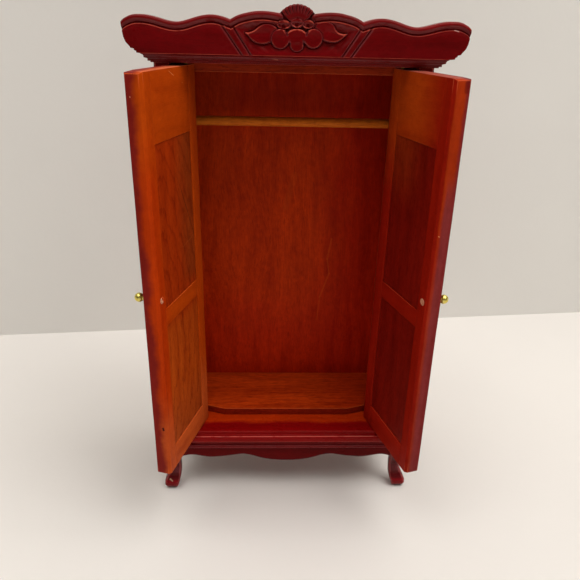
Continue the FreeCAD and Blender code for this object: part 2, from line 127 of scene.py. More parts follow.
class Shader:
    """Adds nodes to a material or a world."""

    def __init__(self, owner, output="OutputMaterial"):
        owner.use_nodes = True
        self.owner = owner
        self.tree = owner.node_tree
        self.tree.nodes.clear()
        self.output = self.node(output)

    def node(self, kind, inputs={}, **settings):
        """A new node; inputs maps sockets to a value or to another node's output."""
        node = self.tree.nodes.new("ShaderNode" + kind)
        for key, value in settings.items():
            setattr(node, key, value)
        for key, value in inputs.items():
            if isinstance(value, bpy.types.NodeSocket):
                self.tree.links.new(value, node.inputs[key])
            else:
                node.inputs[key].default_value = value
        return node

    def finish(self, surface):
        self.tree.links.new(surface, self.output.inputs[0])
        return self.owner

    def math(self, operation, a, b=0.0, clamp=False):
        return self.node("Math", {0: a, 1: b}, operation=operation, use_clamp=clamp).outputs[0]

    def add(self, a, b, clamp=False):
        return self.math("ADD", a, b, clamp)

    def sub(self, a, b):
        return self.math("SUBTRACT", a, b)

    def mul(self, a, b):
        return self.math("MULTIPLY", a, b)

    def centred(self, value, amount):
        """Noise moved from around 0.5 to around 0, and scaled."""
        return self.mul(self.sub(value, 0.5), amount)

    def vector(self, operation, a, b):
        return self.node("VectorMath", {0: a, 1: b}, operation=operation).outputs[0]

    def scale(self, vector, factor):
        return self.node("VectorMath", {0: vector, "Scale": factor}, operation="SCALE").outputs[0]

    def mix(self, factor, a, b, mode="MIX"):
        return self.node("Mix", {0: factor, 6: opaque(a), 7: opaque(b)},
                         data_type="RGBA", blend_type=mode).outputs[2]

    def fade(self, value, start, full):
        """Smooth change from 0 at start to 1 at full; start may be the larger."""
        low, high = min(start, full), max(start, full)
        rise = self.node("MapRange", {0: value, 1: low, 2: high, 3: 0.0, 4: 1.0},
                         interpolation_type="SMOOTHSTEP").outputs[0]
        return rise if start < full else self.sub(1.0, rise)

    def noise(self, vector, scale, detail, roughness=0.5, output="Fac"):
        return self.node("TexNoise", {"Vector": vector, "Scale": scale, "Detail": detail,
                                      "Roughness": roughness}).outputs[output]

    def ramp(self, factor, stops):
        node = self.node("ValToRGB", {0: factor})
        elements = node.color_ramp.elements
        while len(elements) > 1:
            elements.remove(elements[-1])
        elements[0].position, elements[0].color = stops[0][0], opaque(stops[0][1])
        for position, colour in stops[1:]:
            elements.new(position).color = opaque(colour)
        return node.outputs[0]

    def attribute(self, name, output="Fac"):
        return self.node("Attribute", attribute_name=name).outputs[output]


class Wood(Shader):
    """Coordinates and colour layers shared by all woods.  Local Z is the grain direction;
    object colour picks the part of the log."""

    def __init__(self, name, figure):
        super().__init__(bpy.data.materials.new(name))
        log_offset = self.scale(self.node("ObjectInfo").outputs["Color"], 137.0)
        local_mm = self.scale(self.node("TexCoord").outputs["Object"], 1000.0)
        self.position = self.vector("ADD", local_mm, log_offset)
        self.place = self.attribute("place", "Vector")
        self.axis = self.node("SeparateXYZ", {0: self.place}).outputs
        # slow bends of the grain, shared by all streaks
        slow = self.vector("MULTIPLY", self.position, (0.045, 0.045, 0.020))
        bend = self.noise(slow, scale=1.0, detail=1.0, roughness=0.55, output="Color")
        shift = self.vector("MULTIPLY", bend, (5.0 * figure, 5.0 * figure, 0.0))
        self.bent = self.vector("ADD", self.position, shift)

    def streaks(self, base, across, along, detail=3.0, roughness=0.55):
        """Noise with separate frequencies across and along the grain."""
        stretched = self.vector("MULTIPLY", base, (across, across, along))
        return self.noise(stretched, 1.0, detail, roughness)

    def cut_rings(self, value, broad, across, height, squash, per_mm, amount, late):
        """Growth rings round a centre: a slow rise and a quick fall, like late wood."""
        du = self.sub(self.axis[0], across)
        dz = self.sub(self.axis[2], height)
        square = self.add(self.mul(du, du), self.mul(self.mul(dz, dz), squash))
        radius = self.math("SQRT", square)
        wobble = self.streaks(self.position, 0.10, 0.05, roughness=0.6)
        radius = self.add(radius, self.centred(wobble, 9.0))
        radius = self.add(radius, self.centred(broad, 5.0))
        phase = self.math("FRACT", self.mul(radius, per_mm))
        line = self.math("MAXIMUM", self.fade(phase, 1.0 - late, 1.0),
                         self.fade(phase, 0.07, 0.0))
        return self.sub(value, self.mul(line, amount))

    def stain(self, colour, tone, strength, ranges):
        # lays a tone over a zone, for real stains and for painted light and shade alike
        mask = None
        for axis, start, full in ranges:
            wobble = self.streaks(self.position, 0.12, 0.10, roughness=0.6)
            value = self.add(self.axis[axis], self.centred(wobble, abs(full - start) * 0.7))
            part = self.fade(value, start, full)
            mask = part if mask is None else self.mul(mask, part)
        return self.mix(self.mul(mask, strength), colour, tone)

    def outer_stain(self, colour, tone, start, full, drift=0.0, axis=1):
        """The darker stain of the outside, which fades in through the thickness."""
        wobble = self.streaks(self.place, 0.05, 0.085, detail=4.0, roughness=0.65)
        value = self.axis[axis] if axis else self.math("ABSOLUTE", self.axis[0])
        value = self.add(value, self.centred(wobble, abs(full - start) * 2.2))
        if drift:
            value = self.add(value, self.mul(self.sub(145.0, self.axis[2]), drift))
        return self.mix(self.fade(value, start, full), colour, tone)

    def mark(self, colour, start, end, reach, tone, strength):
        """A scratch or chip along the segment from start to end."""
        from_start = self.vector("SUBTRACT", self.place, start)
        run = tuple(end[i] - start[i] for i in range(3))
        dot = self.node("VectorMath", {0: from_start, 1: run}, operation="DOT_PRODUCT")
        part = self.math("DIVIDE", dot.outputs["Value"], sum(r * r for r in run), clamp=True)
        gap = self.vector("SUBTRACT", from_start, self.scale(run, part))
        distance = self.node("VectorMath", {0: gap}, operation="LENGTH").outputs["Value"]
        mask = self.fade(distance, reach, reach * 0.4)
        return self.mix(self.mul(mask, strength), colour, tone)

    def crease_dirt_and_shade(self, colour, tone, dirt):
        # painted shade with some grime: darkens creases found by ambient occlusion and hollows marked by an
        # attribute
        nearness = self.node("AmbientOcclusion", {"Distance": 0.0016}, samples=5).outputs["AO"]
        mask = self.math("MAXIMUM", self.mul(self.fade(nearness, 0.80, 0.25), dirt),
                         self.mul(self.attribute("cavity"), 0.75))
        return self.mix(mask, colour, darker(tone, 0.16, hue=0.8))

    def worn_and_glinting_edges(self, colour, tone, strength):
        # lighter edges: partly worn stain, partly a painted highlight along rounded edges
        mask = self.fade(self.attribute("wear"), 0.25, 0.95)
        patches = self.streaks(self.position, 0.9, 0.35, detail=4.0, roughness=0.7)
        mask = self.mul(self.mul(mask, self.fade(patches, 0.26, 0.52)), strength)
        return self.mix(mask, colour, tone)

    def grey_painted_sheen(self, colour):
        """Painted grey reflection on the slopes marked by the "bloom" attribute."""
        patches = self.streaks(self.position, 0.45, 0.30, roughness=0.6)
        mask = self.mul(self.attribute("bloom"), self.fade(patches, 0.25, 0.50))
        return self.mix(mask, colour, (0.185, 0.038, 0.040))

    def lacquer(self, colour, fibres, fine, pore_mask, rough, spec, coat, bump):
        smudge = self.streaks(self.position, 0.11, 0.07, detail=4.0, roughness=0.65)
        roughness = self.add(self.centred(smudge, 0.28), rough)
        roughness = self.add(roughness, self.mul(pore_mask, 0.15), clamp=True)
        height = self.add(self.mul(fibres, 0.55), self.mul(fine, 0.45))
        height = self.sub(height, self.mul(pore_mask, 0.4))
        grain = self.node("Bump", {"Height": height, "Strength": 0.25 * bump,
                                   "Distance": 0.00005}).outputs[0]
        peel = self.streaks(self.position, 0.5, 0.35, detail=2.0)
        normal = self.node("Bump", {"Height": peel, "Strength": 0.2, "Distance": 0.00012,
                                    "Normal": grain}).outputs[0]
        return self.node("BsdfPrincipled", {
            "Base Color": colour, "Roughness": roughness, "Specular IOR Level": spec,
            "Specular Tint": (1.0, 0.42, 0.30, 1.0), "Coat Weight": coat,
            "Coat Roughness": 0.12, "Coat IOR": 1.32, "Normal": normal,
            "Coat Normal": normal}).outputs[0]


def wood(name, tone, spread, fibre, pores, rough, spec, figure=1.0, pore_along=0.5,
         mottle=1.0, rings=None, stains=(), outer=None, skin=None, marks=(), wear=0.0,
         wear_and_glint_tone=None, dirt=0.0, bump=1.0, coat=0.0):
    """Stained, lacquered wood.  The attribute "place" holds (across, depth, height) in mm
    for a door and toe (x, y, z) for the case; stains, skin and marks are placed in it."""
    shader = Wood(name, figure)
    mul, add, centred = shader.mul, shader.add, shader.centred
    broad = shader.streaks(shader.bent, 0.26, 0.026)
    fibres = shader.streaks(shader.bent, 1.9, 0.10, detail=4.0, roughness=0.6)
    fine = shader.streaks(shader.bent, 5.5, 0.45, roughness=0.6)
    pore = shader.streaks(shader.bent, 4.6, pore_along, detail=1.0, roughness=0.4)
    blotches = shader.streaks(shader.position, 0.55, 0.42, detail=5.0, roughness=0.72)
    pore_mask = shader.fade(pore, 0.60, 0.70)

    value = add(centred(broad, 1.15), centred(fibres, 0.85 * fibre))
    value = add(value, centred(blotches, 0.75 * mottle))
    value = add(value, centred(fine, 0.55 * fibre))
    if rings:
        value = shader.cut_rings(value, broad, **rings)
    change = centred(add(value, 0.5), spread * 3.2)
    red = add(change, 1.0)
    other = add(mul(change, 1.45), 1.0)
    factor = shader.node("CombineColor", {0: red, 1: other, 2: other}).outputs[0]

    colour = shader.mix(0.0, tone, tone)
    for zone_tone, strength, *ranges in stains:
        colour = shader.stain(colour, zone_tone, strength, ranges)
    if outer:
        colour = shader.outer_stain(colour, **outer)
    if skin:
        skin_tone, *ranges = skin
        for axis, start, full in ranges:
            colour = shader.mix(shader.fade(shader.axis[axis], start, full), colour, skin_tone)
    colour = shader.mix(1.0, colour, factor, "MULTIPLY")
    colour = shader.mix(mul(pore_mask, pores), colour, darker(tone, 0.28, hue=0.7))
    for mark in marks:
        colour = shader.mark(colour, *mark)
    # painted shade, with some grime, in creases and hollows
    if dirt > 0:
        colour = shader.crease_dirt_and_shade(colour, tone, dirt)
    # lighter rounded edges, worn and with painted highlights
    if wear > 0:
        colour = shader.worn_and_glinting_edges(colour, wear_and_glint_tone, wear)
    # painted grey reflection where the attribute marks it
    colour = shader.grey_painted_sheen(colour)
    return shader.finish(shader.lacquer(colour, fibres, fine, pore_mask, rough, spec, coat, bump))


def brass(name):
    shader = Shader(bpy.data.materials.new(name))
    local_mm = shader.scale(shader.node("TexCoord").outputs["Object"], 1000.0)
    tarnish = shader.noise(local_mm, scale=0.9, detail=5.0, roughness=0.7)
    colour = shader.ramp(tarnish, [(0.30, srgb(196, 172, 72)), (0.55, srgb(226, 212, 116)),
                                   (0.8, srgb(240, 232, 158))])
    spots = shader.fade(shader.noise(local_mm, scale=5.0, detail=2.0), 0.64, 0.74)
    colour = shader.mix(shader.mul(spots, 0.6), colour, srgb(108, 74, 24))
    turning = shader.node("TexWave", {"Vector": local_mm, "Scale": 4.0, "Distortion": 0.6,
                                      "Detail": 1.0}, wave_type="RINGS", rings_direction="Y")
    roughness = shader.add(shader.mul(tarnish, 0.16), 0.24)
    bump = shader.node("Bump", {"Height": turning.outputs["Fac"], "Strength": 0.12,
                                "Distance": 0.00003})
    return shader.finish(shader.node("BsdfPrincipled", {
        "Base Color": colour, "Metallic": 1.0, "Roughness": roughness,
        "Normal": bump.outputs[0]}).outputs[0])


# ---------------------------------------------------------------------------
# Woods.  Axes of "place", and the columns of the tables:
#   stains, some of them painted light and shade: (tone, strength, (axis, start, full), ...), the ranges multiplied
#   together
#   skin:   (tone, (axis, start, full), ...), each range laid on in turn
#   marks:  (start point, end point, reach, tone, strength)
# ---------------------------------------------------------------------------
ACROSS, DEPTH, HEIGHT = 0, 1, 2
RED = (0.135, 0.0014, 0.0026)
# tone of worn red edges, which also stands for a painted highlight
WORN_AND_GLINT_RED = srgb(206, 84, 70)
SCRATCH = (0.05, 0.006, 0.002)
DENT = (0.030, 0.004, 0.006)
# the top end of a door, where a lighter painted sheen is laid
DOOR_TOP_SHEEN = (HEIGHT, DOOR.z1 - 0.22, DOOR.z1 - 0.06)
SATIN = dict(fibre=0.6, pores=0.25, rough=0.30, spec=0.08)
DOOR_FRAME = dict(skin=(RED, (DEPTH, 4.35, 4.75)), fibre=0.35, pores=0.10, mottle=1.3,
                  rough=0.42, spec=0.04)
DOOR_PANEL = dict(outer=dict(tone=RED, start=1.2, full=1.8), fibre=1.1, rough=0.42, wear=0.3)

MATERIALS = {}
MATERIALS["red"] = wood(
    "mahogany_gloss", RED, spread=0.22, coat=0.14, wear=0.9, wear_and_glint_tone=WORN_AND_GLINT_RED, dirt=0.6,
    marks=(((-6.5, -1.75, 152.86), (-5.2, -1.75, 152.62), 0.26, srgb(190, 118, 84), 0.75),),
    **SATIN)
MATERIALS["carve"] = wood(
    "mahogany_carved", RED, spread=0.26, fibre=0.5, pores=0.15, mottle=1.2, rough=0.30,
    spec=0.10, coat=0.14, wear=0.75, wear_and_glint_tone=srgb(200, 84, 64), bump=0.6, dirt=0.40,
    # a bright painted highlight, with a chip, on the right end of the rim
    marks=(((42.7, -2.7, 161.10), (43.9, -2.7, 160.80), 0.17, srgb(236, 190, 180), 0.8),
           ((46.95, -2.7, 162.05), (47.25, -2.7, 161.6), 0.35, srgb(186, 110, 60), 0.7),
           ((16.8, -2.5, 156.1), (17.3, -2.5, 156.5), 0.16, srgb(176, 112, 112), 0.7)))
MATERIALS["apron"] = wood(
    "mahogany_apron", (0.098, 0.0009, 0.0018), spread=0.22, coat=0.05, wear=0.5,
    wear_and_glint_tone=WORN_AND_GLINT_RED, dirt=0.5,
    marks=(((-16.2, -1.4, 15.85), (-15.5, -1.4, 15.95), 0.26, srgb(196, 120, 110), 0.85),),
    **SATIN)
MATERIALS["foot"] = wood(
    "mahogany_foot", (0.085, 0.0025, 0.0040), spread=0.26, fibre=0.5, pores=0.2, rough=0.26,
    spec=0.12, coat=0.30, wear=0.45, wear_and_glint_tone=srgb(158, 74, 72), dirt=0.6,
    # painted light: a brighter red toe front where light falls, then a grey-purple painted sheen on the ankle
    stains=(((0.20, 0.0050, 0.0080), 0.9, (HEIGHT, 4.3, 3.3), (HEIGHT, 0.3, 1.2)),
            ((0.120, 0.020, 0.026), 0.6, (HEIGHT, 6.0, 6.8), (HEIGHT, 9.6, 8.2))),
    marks=(((-43.4, -0.6, 4.1), (-42.6, -0.9, 3.5), 0.42, srgb(176, 138, 110), 0.75),
           ((-42.6, -0.9, 3.5), (-41.9, -0.9, 3.1), 0.34, srgb(190, 150, 124), 0.75),
           ((-43.9, -0.3, 3.6), (-43.7, -0.4, 3.1), 0.26, srgb(150, 104, 84), 0.6)))
MATERIALS["frame_left"] = wood(
    "door_frame_left", (0.44, 0.051, 0.0024), spread=0.15, wear=0.65,
    wear_and_glint_tone=srgb(214, 98, 52),
    outer=dict(tone=(0.200, 0.0125, 0.0085), start=1.6, full=4.2, drift=0.0120),
    stains=(((0.44, 0.030, 0.002), 0.75, (ACROSS, 24, 31), (HEIGHT, 140, 118)),
            # darker near the hinge towards the top: painted shadow of the crown
            ((0.34, 0.036, 0.003), 0.75, (ACROSS, 8, 2), (HEIGHT, 80, 100)),
            ((0.50, 0.092, 0.020), 0.65, (HEIGHT, 60, 38)),
            # painted sheen on the top end
            ((0.52, 0.120, 0.050), 0.85, DOOR_TOP_SHEEN)),
    marks=(((17.6, 0, 149.7), (14.8, 0, 148.4), 0.10, srgb(236, 150, 90), 0.75),
           ((9.5, 0, 146.2), (9.3, 0, 146.0), 0.16, srgb(226, 130, 80), 0.6),
           ((33.1, 1.5, 44.9), (33.1, 1.5, 44.1), 0.42, DENT, 0.9),
           ((33.1, 1.1, 44.3), (33.1, 1.9, 44.7), 0.22, DENT, 0.8),
           ((33.1, 3.5, 144.6), (33.1, 3.5, 144.4), 0.16, srgb(232, 160, 120), 0.7)),
    **DOOR_FRAME)
MATERIALS["frame_right"] = wood(
    "door_frame_right", (0.27, 0.0085, 0.0022), spread=0.18, wear=0.6,
    wear_and_glint_tone=srgb(206, 90, 56),
    outer=dict(tone=(0.190, 0.0180, 0.0180), start=3.3, full=4.6, drift=0.010),
    stains=(((0.44, 0.056, 0.004), 0.85, (HEIGHT, 112, 142), (ACROSS, 31, 15)),
            ((0.35, 0.031, 0.004), 0.85, (DEPTH, 0.5, 1.0), (HEIGHT, 92, 120)),
            ((0.30, 0.028, 0.010), 0.8, (DEPTH, 0.5, 1.0), (HEIGHT, 112, 86)),
            # grey-purple on the outer part of the free edge: a painted reflection
            ((0.215, 0.028, 0.028), 0.95, (DEPTH, 1.1, 2.2), (HEIGHT, 129, 116)),
            # painted sheen on the top end
            ((0.31, 0.078, 0.056), 0.8, DOOR_TOP_SHEEN)),
    marks=(((33.1, 3.8, 149.2), (33.1, 3.8, 147.6), 1.2, (0.120, 0.0050, 0.0030), 0.6),
           ((33.1, 1.0, 109.4), (33.1, 1.3, 109.2), 0.16, srgb(226, 150, 100), 0.7)),
    **DOOR_FRAME)
MATERIALS["panel_left"] = wood(
    "door_panel_left", (0.34, 0.030, 0.0024), spread=0.20, pores=0.45, mottle=0.9, spec=0.10,
    wear_and_glint_tone=srgb(196, 80, 36),
    rings=dict(across=48.0, height=72.0, squash=0.42, per_mm=0.23, amount=0.36, late=0.24),
    stains=(((0.24, 0.038, 0.006), 0.75, (ACROSS, 19, 8), (HEIGHT, 84, 90)),
            ((0.40, 0.058, 0.0048), 0.9, (HEIGHT, 82, 74)),
            ((0.32, 0.050, 0.007), 0.8, (HEIGHT, 56, 38))),
    marks=(((14.0, 0.3, 98.9), (6.1, 0.3, 100.2), 0.09, srgb(226, 130, 70), 0.35),
           ((15.6, 0.3, 121.0), (13.0, 0.3, 116.0), 0.16, (0.09, 0.010, 0.003), 0.6),
           ((13.0, 0.3, 116.0), (9.2, 0.3, 108.4), 0.24, SCRATCH, 0.85),
           ((9.2, 0.3, 108.4), (5.2, 0.3, 100.0), 0.17, SCRATCH, 0.85),
           ((20.0, 0.3, 52.0), (19.4, 0.3, 48.5), 0.18, SCRATCH, 0.7),
           ((18.0, 0.3, 54.0), (17.8, 0.3, 52.0), 0.14, SCRATCH, 0.7)),
    **DOOR_PANEL)
MATERIALS["panel_right"] = wood(
    "door_panel_right", (0.170, 0.0050, 0.0018), spread=0.26, pores=0.40, mottle=1.1,
    spec=0.14, wear_and_glint_tone=srgb(180, 56, 26),
    rings=dict(across=-20.0, height=60.0, squash=0.30, per_mm=0.20, amount=0.14, late=0.30),
    stains=(((0.27, 0.030, 0.004), 0.7, (HEIGHT, 108, 134), (ACROSS, 26, 10)),),
    **DOOR_PANEL)
PALE_STREAK = (0.62, 0.085, 0.010)
MATERIALS["back"] = wood(
    "back_veneer", (0.50, 0.034, 0.0020), spread=0.22, fibre=1.0, figure=2.2, pores=0.40,
    pore_along=0.25, mottle=1.4, rough=0.42, spec=0.10,
    skin=((0.24, 0.016, 0.0030), (DEPTH, BACK_Y - 0.7, BACK_Y - 0.3)),
    rings=dict(across=-6.0, height=40.0, squash=0.055, per_mm=0.16, amount=0.10, late=0.5),
    stains=(((0.38, 0.010, 0.0018), 0.85, (ACROSS, 2, 26)),
            ((0.43, 0.014, 0.0018), 0.7, (HEIGHT, 78, 46)),
            # darker towards the top: painted shadow of the crown
            ((0.34, 0.010, 0.0018), 0.7, (HEIGHT, 118, 142)),
            ((0.46, 0.034, 0.004), 0.6, (ACROSS, -14, -26), (HEIGHT, 60, 90))),
    marks=(((16.5, 34.2, 88), (15.2, 34.2, 80), 0.45, PALE_STREAK, 0.30),
           ((15.2, 34.2, 80), (16.2, 34.2, 74), 0.35, PALE_STREAK, 0.32),
           ((16.2, 34.2, 74), (13.0, 34.2, 64), 0.45, PALE_STREAK, 0.30),
           ((13.0, 34.2, 64), (12.2, 34.2, 54), 0.40, PALE_STREAK, 0.22),
           ((2.0, 34.2, 112), (-1.0, 34.2, 100), 1.6, (0.58, 0.070, 0.008), 0.22)))
MATERIALS["floor"] = wood(
    "floor_wood", (0.41, 0.036, 0.0028), spread=0.30, fibre=1.7, figure=0.8, pores=0.75,
    pore_along=0.22, rough=0.45, spec=0.12, wear=0.5, wear_and_glint_tone=srgb(214, 100, 44),
    stains=(((0.33, 0.021, 0.002), 0.8, (ACROSS, 8, 26)),))
MATERIALS["floor_edge"] = wood(
    "floor_edge_wood", (0.22, 0.0120, 0.0026), spread=0.30, fibre=1.2, pores=0.6, rough=0.5,
    spec=0.10, wear=0.4, wear_and_glint_tone=srgb(190, 80, 40))
MATERIALS["inner"] = wood(
    "inner_wood", (0.26, 0.020, 0.0035), spread=0.28, fibre=1.4, pores=0.6, rough=0.42,
    spec=0.14, wear=0.8, wear_and_glint_tone=srgb(190, 84, 44))
MATERIALS["side"] = wood(
    "side_wood", (0.42, 0.045, 0.003), spread=0.2, fibre=0.8, pores=0.3, rough=0.34,
    spec=0.18, coat=0.35, wear=0.5, wear_and_glint_tone=WORN_AND_GLINT_RED, dirt=0.5,
    skin=((0.16, 0.0030, 0.0026), (DEPTH, BACK_Y - 0.4, BACK_Y - 0.1),
          (DEPTH, LEFT_SIDE_FRONT + 0.9, LEFT_SIDE_FRONT + 0.4)),
    outer=dict(tone=RED, start=38.6, full=39.8, axis=ACROSS))
BASE_RED = (0.205, 0.0016, 0.0022)
MATERIALS["base"] = wood(
    "base_wood", (0.43, 0.028, 0.0015), spread=0.18, fibre=0.8, pores=0.25, rough=0.28,
    spec=0.09, coat=0.13, wear=0.9, wear_and_glint_tone=srgb(214, 104, 92), dirt=0.25,
    skin=(BASE_RED, (ACROSS, 36.6, 37.4), (ACROSS, -36.6, -37.4), (DEPTH, 34.8, 35.6),
          (HEIGHT, BASE.z1 - 0.9, BASE.z1 - 1.2)),
    outer=dict(tone=(0.215, 0.0016, 0.0022), start=5.8, full=3.4))
MATERIALS["rod"] = wood("rod_wood", (0.58, 0.135, 0.0105), spread=0.22, fibre=1.4,
                        pores=0.4, rough=0.42, spec=0.14)
MATERIALS["peg"] = wood("bare_peg_wood", (0.60, 0.26, 0.15), spread=0.25, fibre=0.8,
                        pores=0.3, rough=0.6, spec=0.12)
MATERIALS["brass"] = brass("brass_knob")


# ---------------------------------------------------------------------------
# Finishing a piece
# ---------------------------------------------------------------------------
def door_axes(side):
    """Origin at the hinge edge on the inner face, then the across and outward axes."""
    across = Vector((math.cos(OPEN_ANGLE), -math.sin(OPEN_ANGLE), 0))
    outward = Vector((-math.sin(OPEN_ANGLE), -math.cos(OPEN_ANGLE), 0))
    pin = Vector((PIN.x * MM, PIN.y * MM, 0))
    if side == "right":
        across.x, outward.x, pin.x = -across.x, -outward.x, -pin.x
    return pin - across * PIN_ACROSS * MM - outward * PIN_DEPTH * MM, across, outward


def put_attribute(piece, name, values):
    layer = piece.data.attributes.new(name, "FLOAT", "POINT")
    layer.data.foreach_set("value", np.array(values, dtype=np.float32))


def place_values(piece, body):
    """Where each vertex lies, in door or toe millimetres."""
    points = np.empty(len(piece.data.vertices) * 3)
    piece.data.vertices.foreach_get("co", points)
    matrix = np.array(piece.matrix_world)
    world_points = points.reshape(-1, 3) @ matrix[:3, :3].T + matrix[:3, 3]
    if body in ("left_door", "right_door"):
        origin, across, outward = door_axes(body.split("_")[0])
        rel = world_points - np.array(origin)
        place = np.stack([rel @ np.array(across), rel @ np.array(outward),
                          world_points[:, 2]], axis=1) / MM
    else:
        place = world_points / MM
        place[:, 1] -= SHIFT
    return place.astype(np.float32)


def edge_wear_and_glint(mesh_data):
    """1 in the middle of every narrow rounded edge, 0 elsewhere; there the stain is worn and a highlight is
    painted.
    """
    mesh = bmesh.new()
    mesh.from_mesh(mesh_data)
    rounding = set()
    for face in mesh.faces:
        longest = max(edge.calc_length() for edge in face.edges)
        if longest == 0 or face.calc_area() / longest > 0.42 * MM:
            continue
        bends = sum(1 for edge in face.edges if len(edge.link_faces) == 2 and edge.is_convex
                    and edge.calc_face_angle(0) > math.radians(6))
        if bends >= 2:
            rounding.add(face.index)
    wear = np.zeros(len(mesh.verts), dtype=np.float32)
    for vert in mesh.verts:
        if vert.link_faces and all(face.index in rounding for face in vert.link_faces):
            wear[vert.index] = 1.0
    mesh.free()
    return wear


def finish_piece(piece, node, material, smooth_angle=34):
    body = BODY[node]
    if material in ("frame", "panel"):
        material += "_" + body.split("_")[0]
    place = place_values(piece, body)
    if "wear" not in piece.data.attributes:
        wear = edge_wear_and_glint(piece.data)
        if material.startswith("frame_"):
            # less worn stain and painted highlight beside the joints of stiles and rails
            across = place[:, 0]
            wear[(np.abs(across - OPENING_0) < 0.5) | (np.abs(across - OPENING_1) < 0.5)] *= 0.38
        put_attribute(piece, "wear", wear)
    layer = piece.data.attributes.new("place", "FLOAT_VECTOR", "POINT")
    layer.data.foreach_set("vector", place.ravel())
    piece.data.materials.append(MATERIALS[material])
    for face in piece.data.polygons:
        face.use_smooth = True
    piece.data.set_sharp_from_angle(angle=math.radians(smooth_angle))
    piece.color = (*piece_random.rand(3), 1.0)
    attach(piece, body)
    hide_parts(node)
    return piece


# ---------------------------------------------------------------------------
# Mesh helpers
# ---------------------------------------------------------------------------
def recalc(mesh):
    bmesh.ops.recalc_face_normals(mesh, faces=mesh.faces)


def new_object(name, mesh, matrix=Matrix()):
    recalc(mesh)
    mesh_data = bpy.data.meshes.new(name)
    mesh.to_mesh(mesh_data)
    mesh.free()
    piece = bpy.data.objects.new(name, mesh_data)
    bpy.context.scene.collection.objects.link(piece)
    piece.matrix_world = matrix
    return piece


def add_vert(mesh, x, y, z):
    return mesh.verts.new((x * MM, y * MM, z * MM))


def skin_rows(mesh, rows, closed=True):
    """Faces between neighbouring rows of vertices; a pole is one vertex repeated."""
    for first, second in zip(rows[:-1], rows[1:]):
        count = len(first)
        for i in range(count if closed else count - 1):
            j = (i + 1) % count
            corners = (first[i], first[j], second[j], second[i])
            mesh.faces.new(tuple(dict.fromkeys(corners)))


def loft(mesh, rows):
    """A closed solid through rings of vertices."""
    skin_rows(mesh, rows)
    mesh.faces.new(rows[0])
    mesh.faces.new(rows[-1][::-1])
    recalc(mesh)


def prism(outline, start, end):
    """Closed prism of a local (x, y) outline, from start to end along local Z."""
    mesh = bmesh.new()
    low = [add_vert(mesh, x, y, start) for x, y in outline]
    high = [add_vert(mesh, x, y, end) for x, y in outline]
    mesh.faces.new(low[::-1])
    mesh.faces.new(high)
    skin_rows(mesh, [low, high])
    recalc(mesh)
    return mesh


def bevel_edges(mesh, width, segments=3, angle=28):
    edges = [edge for edge in mesh.edges
             if len(edge.link_faces) == 2 and edge.calc_face_angle(0) > math.radians(angle)]
    bmesh.ops.bevel(mesh, geom=edges, offset=width * MM, segments=segments, profile=0.6,
                    affect="EDGES", clamp_overlap=True, offset_type="OFFSET")


def cut_across(mesh, axis, step):
    """Cuts a long piece into steps along an axis, so that its surface can wander."""
    along = [vert.co[axis] for vert in mesh.verts]
    low, high = min(along), max(along)
    count = int((high - low) / (step * MM))
    normal = [0, 0, 0]
    normal[axis] = 1
    for i in range(1, count):
        point = [0, 0, 0]
        point[axis] = low + (high - low) * i / count
        bmesh.ops.bisect_plane(mesh, geom=mesh.verts[:] + mesh.edges[:] + mesh.faces[:],
                               plane_co=point, plane_no=normal)


def uneven(mesh, amount, scale, seed):
    """Hand sanding: a smooth, very small wander of the surface."""
    random = np.random.RandomState(seed)
    waves = random.normal(size=(6, 3)) / (scale * MM)
    phases = random.rand(6) * 6.28
    pushes = random.normal(size=(6, 3)) * amount * MM / 2.4
    for vert in mesh.verts:
        vert.co += Vector(np.cos(waves @ np.array(vert.co) + phases) @ pushes)


def soft_board(outline, start, end, width, segments=3, step=6.0, seed=1, amount=0.02):
    mesh = prism(outline, start, end)
    cut_across(mesh, 2, step)
    bevel_edges(mesh, width, segments)
    uneven(mesh, amount, 9.0, seed)
    return mesh


ALONG_X = axes_matrix(toe_point(0, 0, 0), UP, -BACK, RIGHT)


def grain_along_x(mesh, shift=SHIFT):
    """Local X up, local Y forwards, local Z to the right; returns the placement."""
    for vert in mesh.verts:
        x, y, z = vert.co
        vert.co = (z, -(y - shift * MM), x)
    return ALONG_X


def grain_along_y(mesh, side=1):
    """Local X up, local Y to the given side, local Z back; returns the placement."""
    for vert in mesh.verts:
        x, y, z = vert.co
        vert.co = (z, x * side, y)
    return axes_matrix(Vector((0, 0, 0)), UP, RIGHT * side, BACK)


def rectangle(x0, x1, y0, y1):
    return [(x0, y0), (x1, y0), (x1, y1), (x0, y1)]


def cubic(xs, ys):
    """Natural cubic spline as a function of x."""
    xs, ys = np.asarray(xs, float), np.asarray(ys, float)
    count = len(xs)
    gap = np.diff(xs)
    system = np.zeros((count, count))
    target = np.zeros(count)
    system[0, 0] = system[-1, -1] = 1
    for i in range(1, count - 1):
        system[i, i - 1:i + 2] = gap[i - 1], 2 * (gap[i - 1] + gap[i]), gap[i]
        target[i] = 6 * ((ys[i + 1] - ys[i]) / gap[i] - (ys[i] - ys[i - 1]) / gap[i - 1])
    curve = np.linalg.solve(system, target)

    def evaluate(x):
        x = np.asarray(x, float)
        i = np.clip(np.searchsorted(xs, x) - 1, 0, count - 2)
        before, after = xs[i + 1] - x, x - xs[i]
        bend = (curve[i] * before ** 3 + curve[i + 1] * after ** 3) / (6 * gap[i])
        return (bend + (ys[i] / gap[i] - curve[i] * gap[i] / 6) * before
                + (ys[i + 1] / gap[i] - curve[i + 1] * gap[i] / 6) * after)
    return evaluate


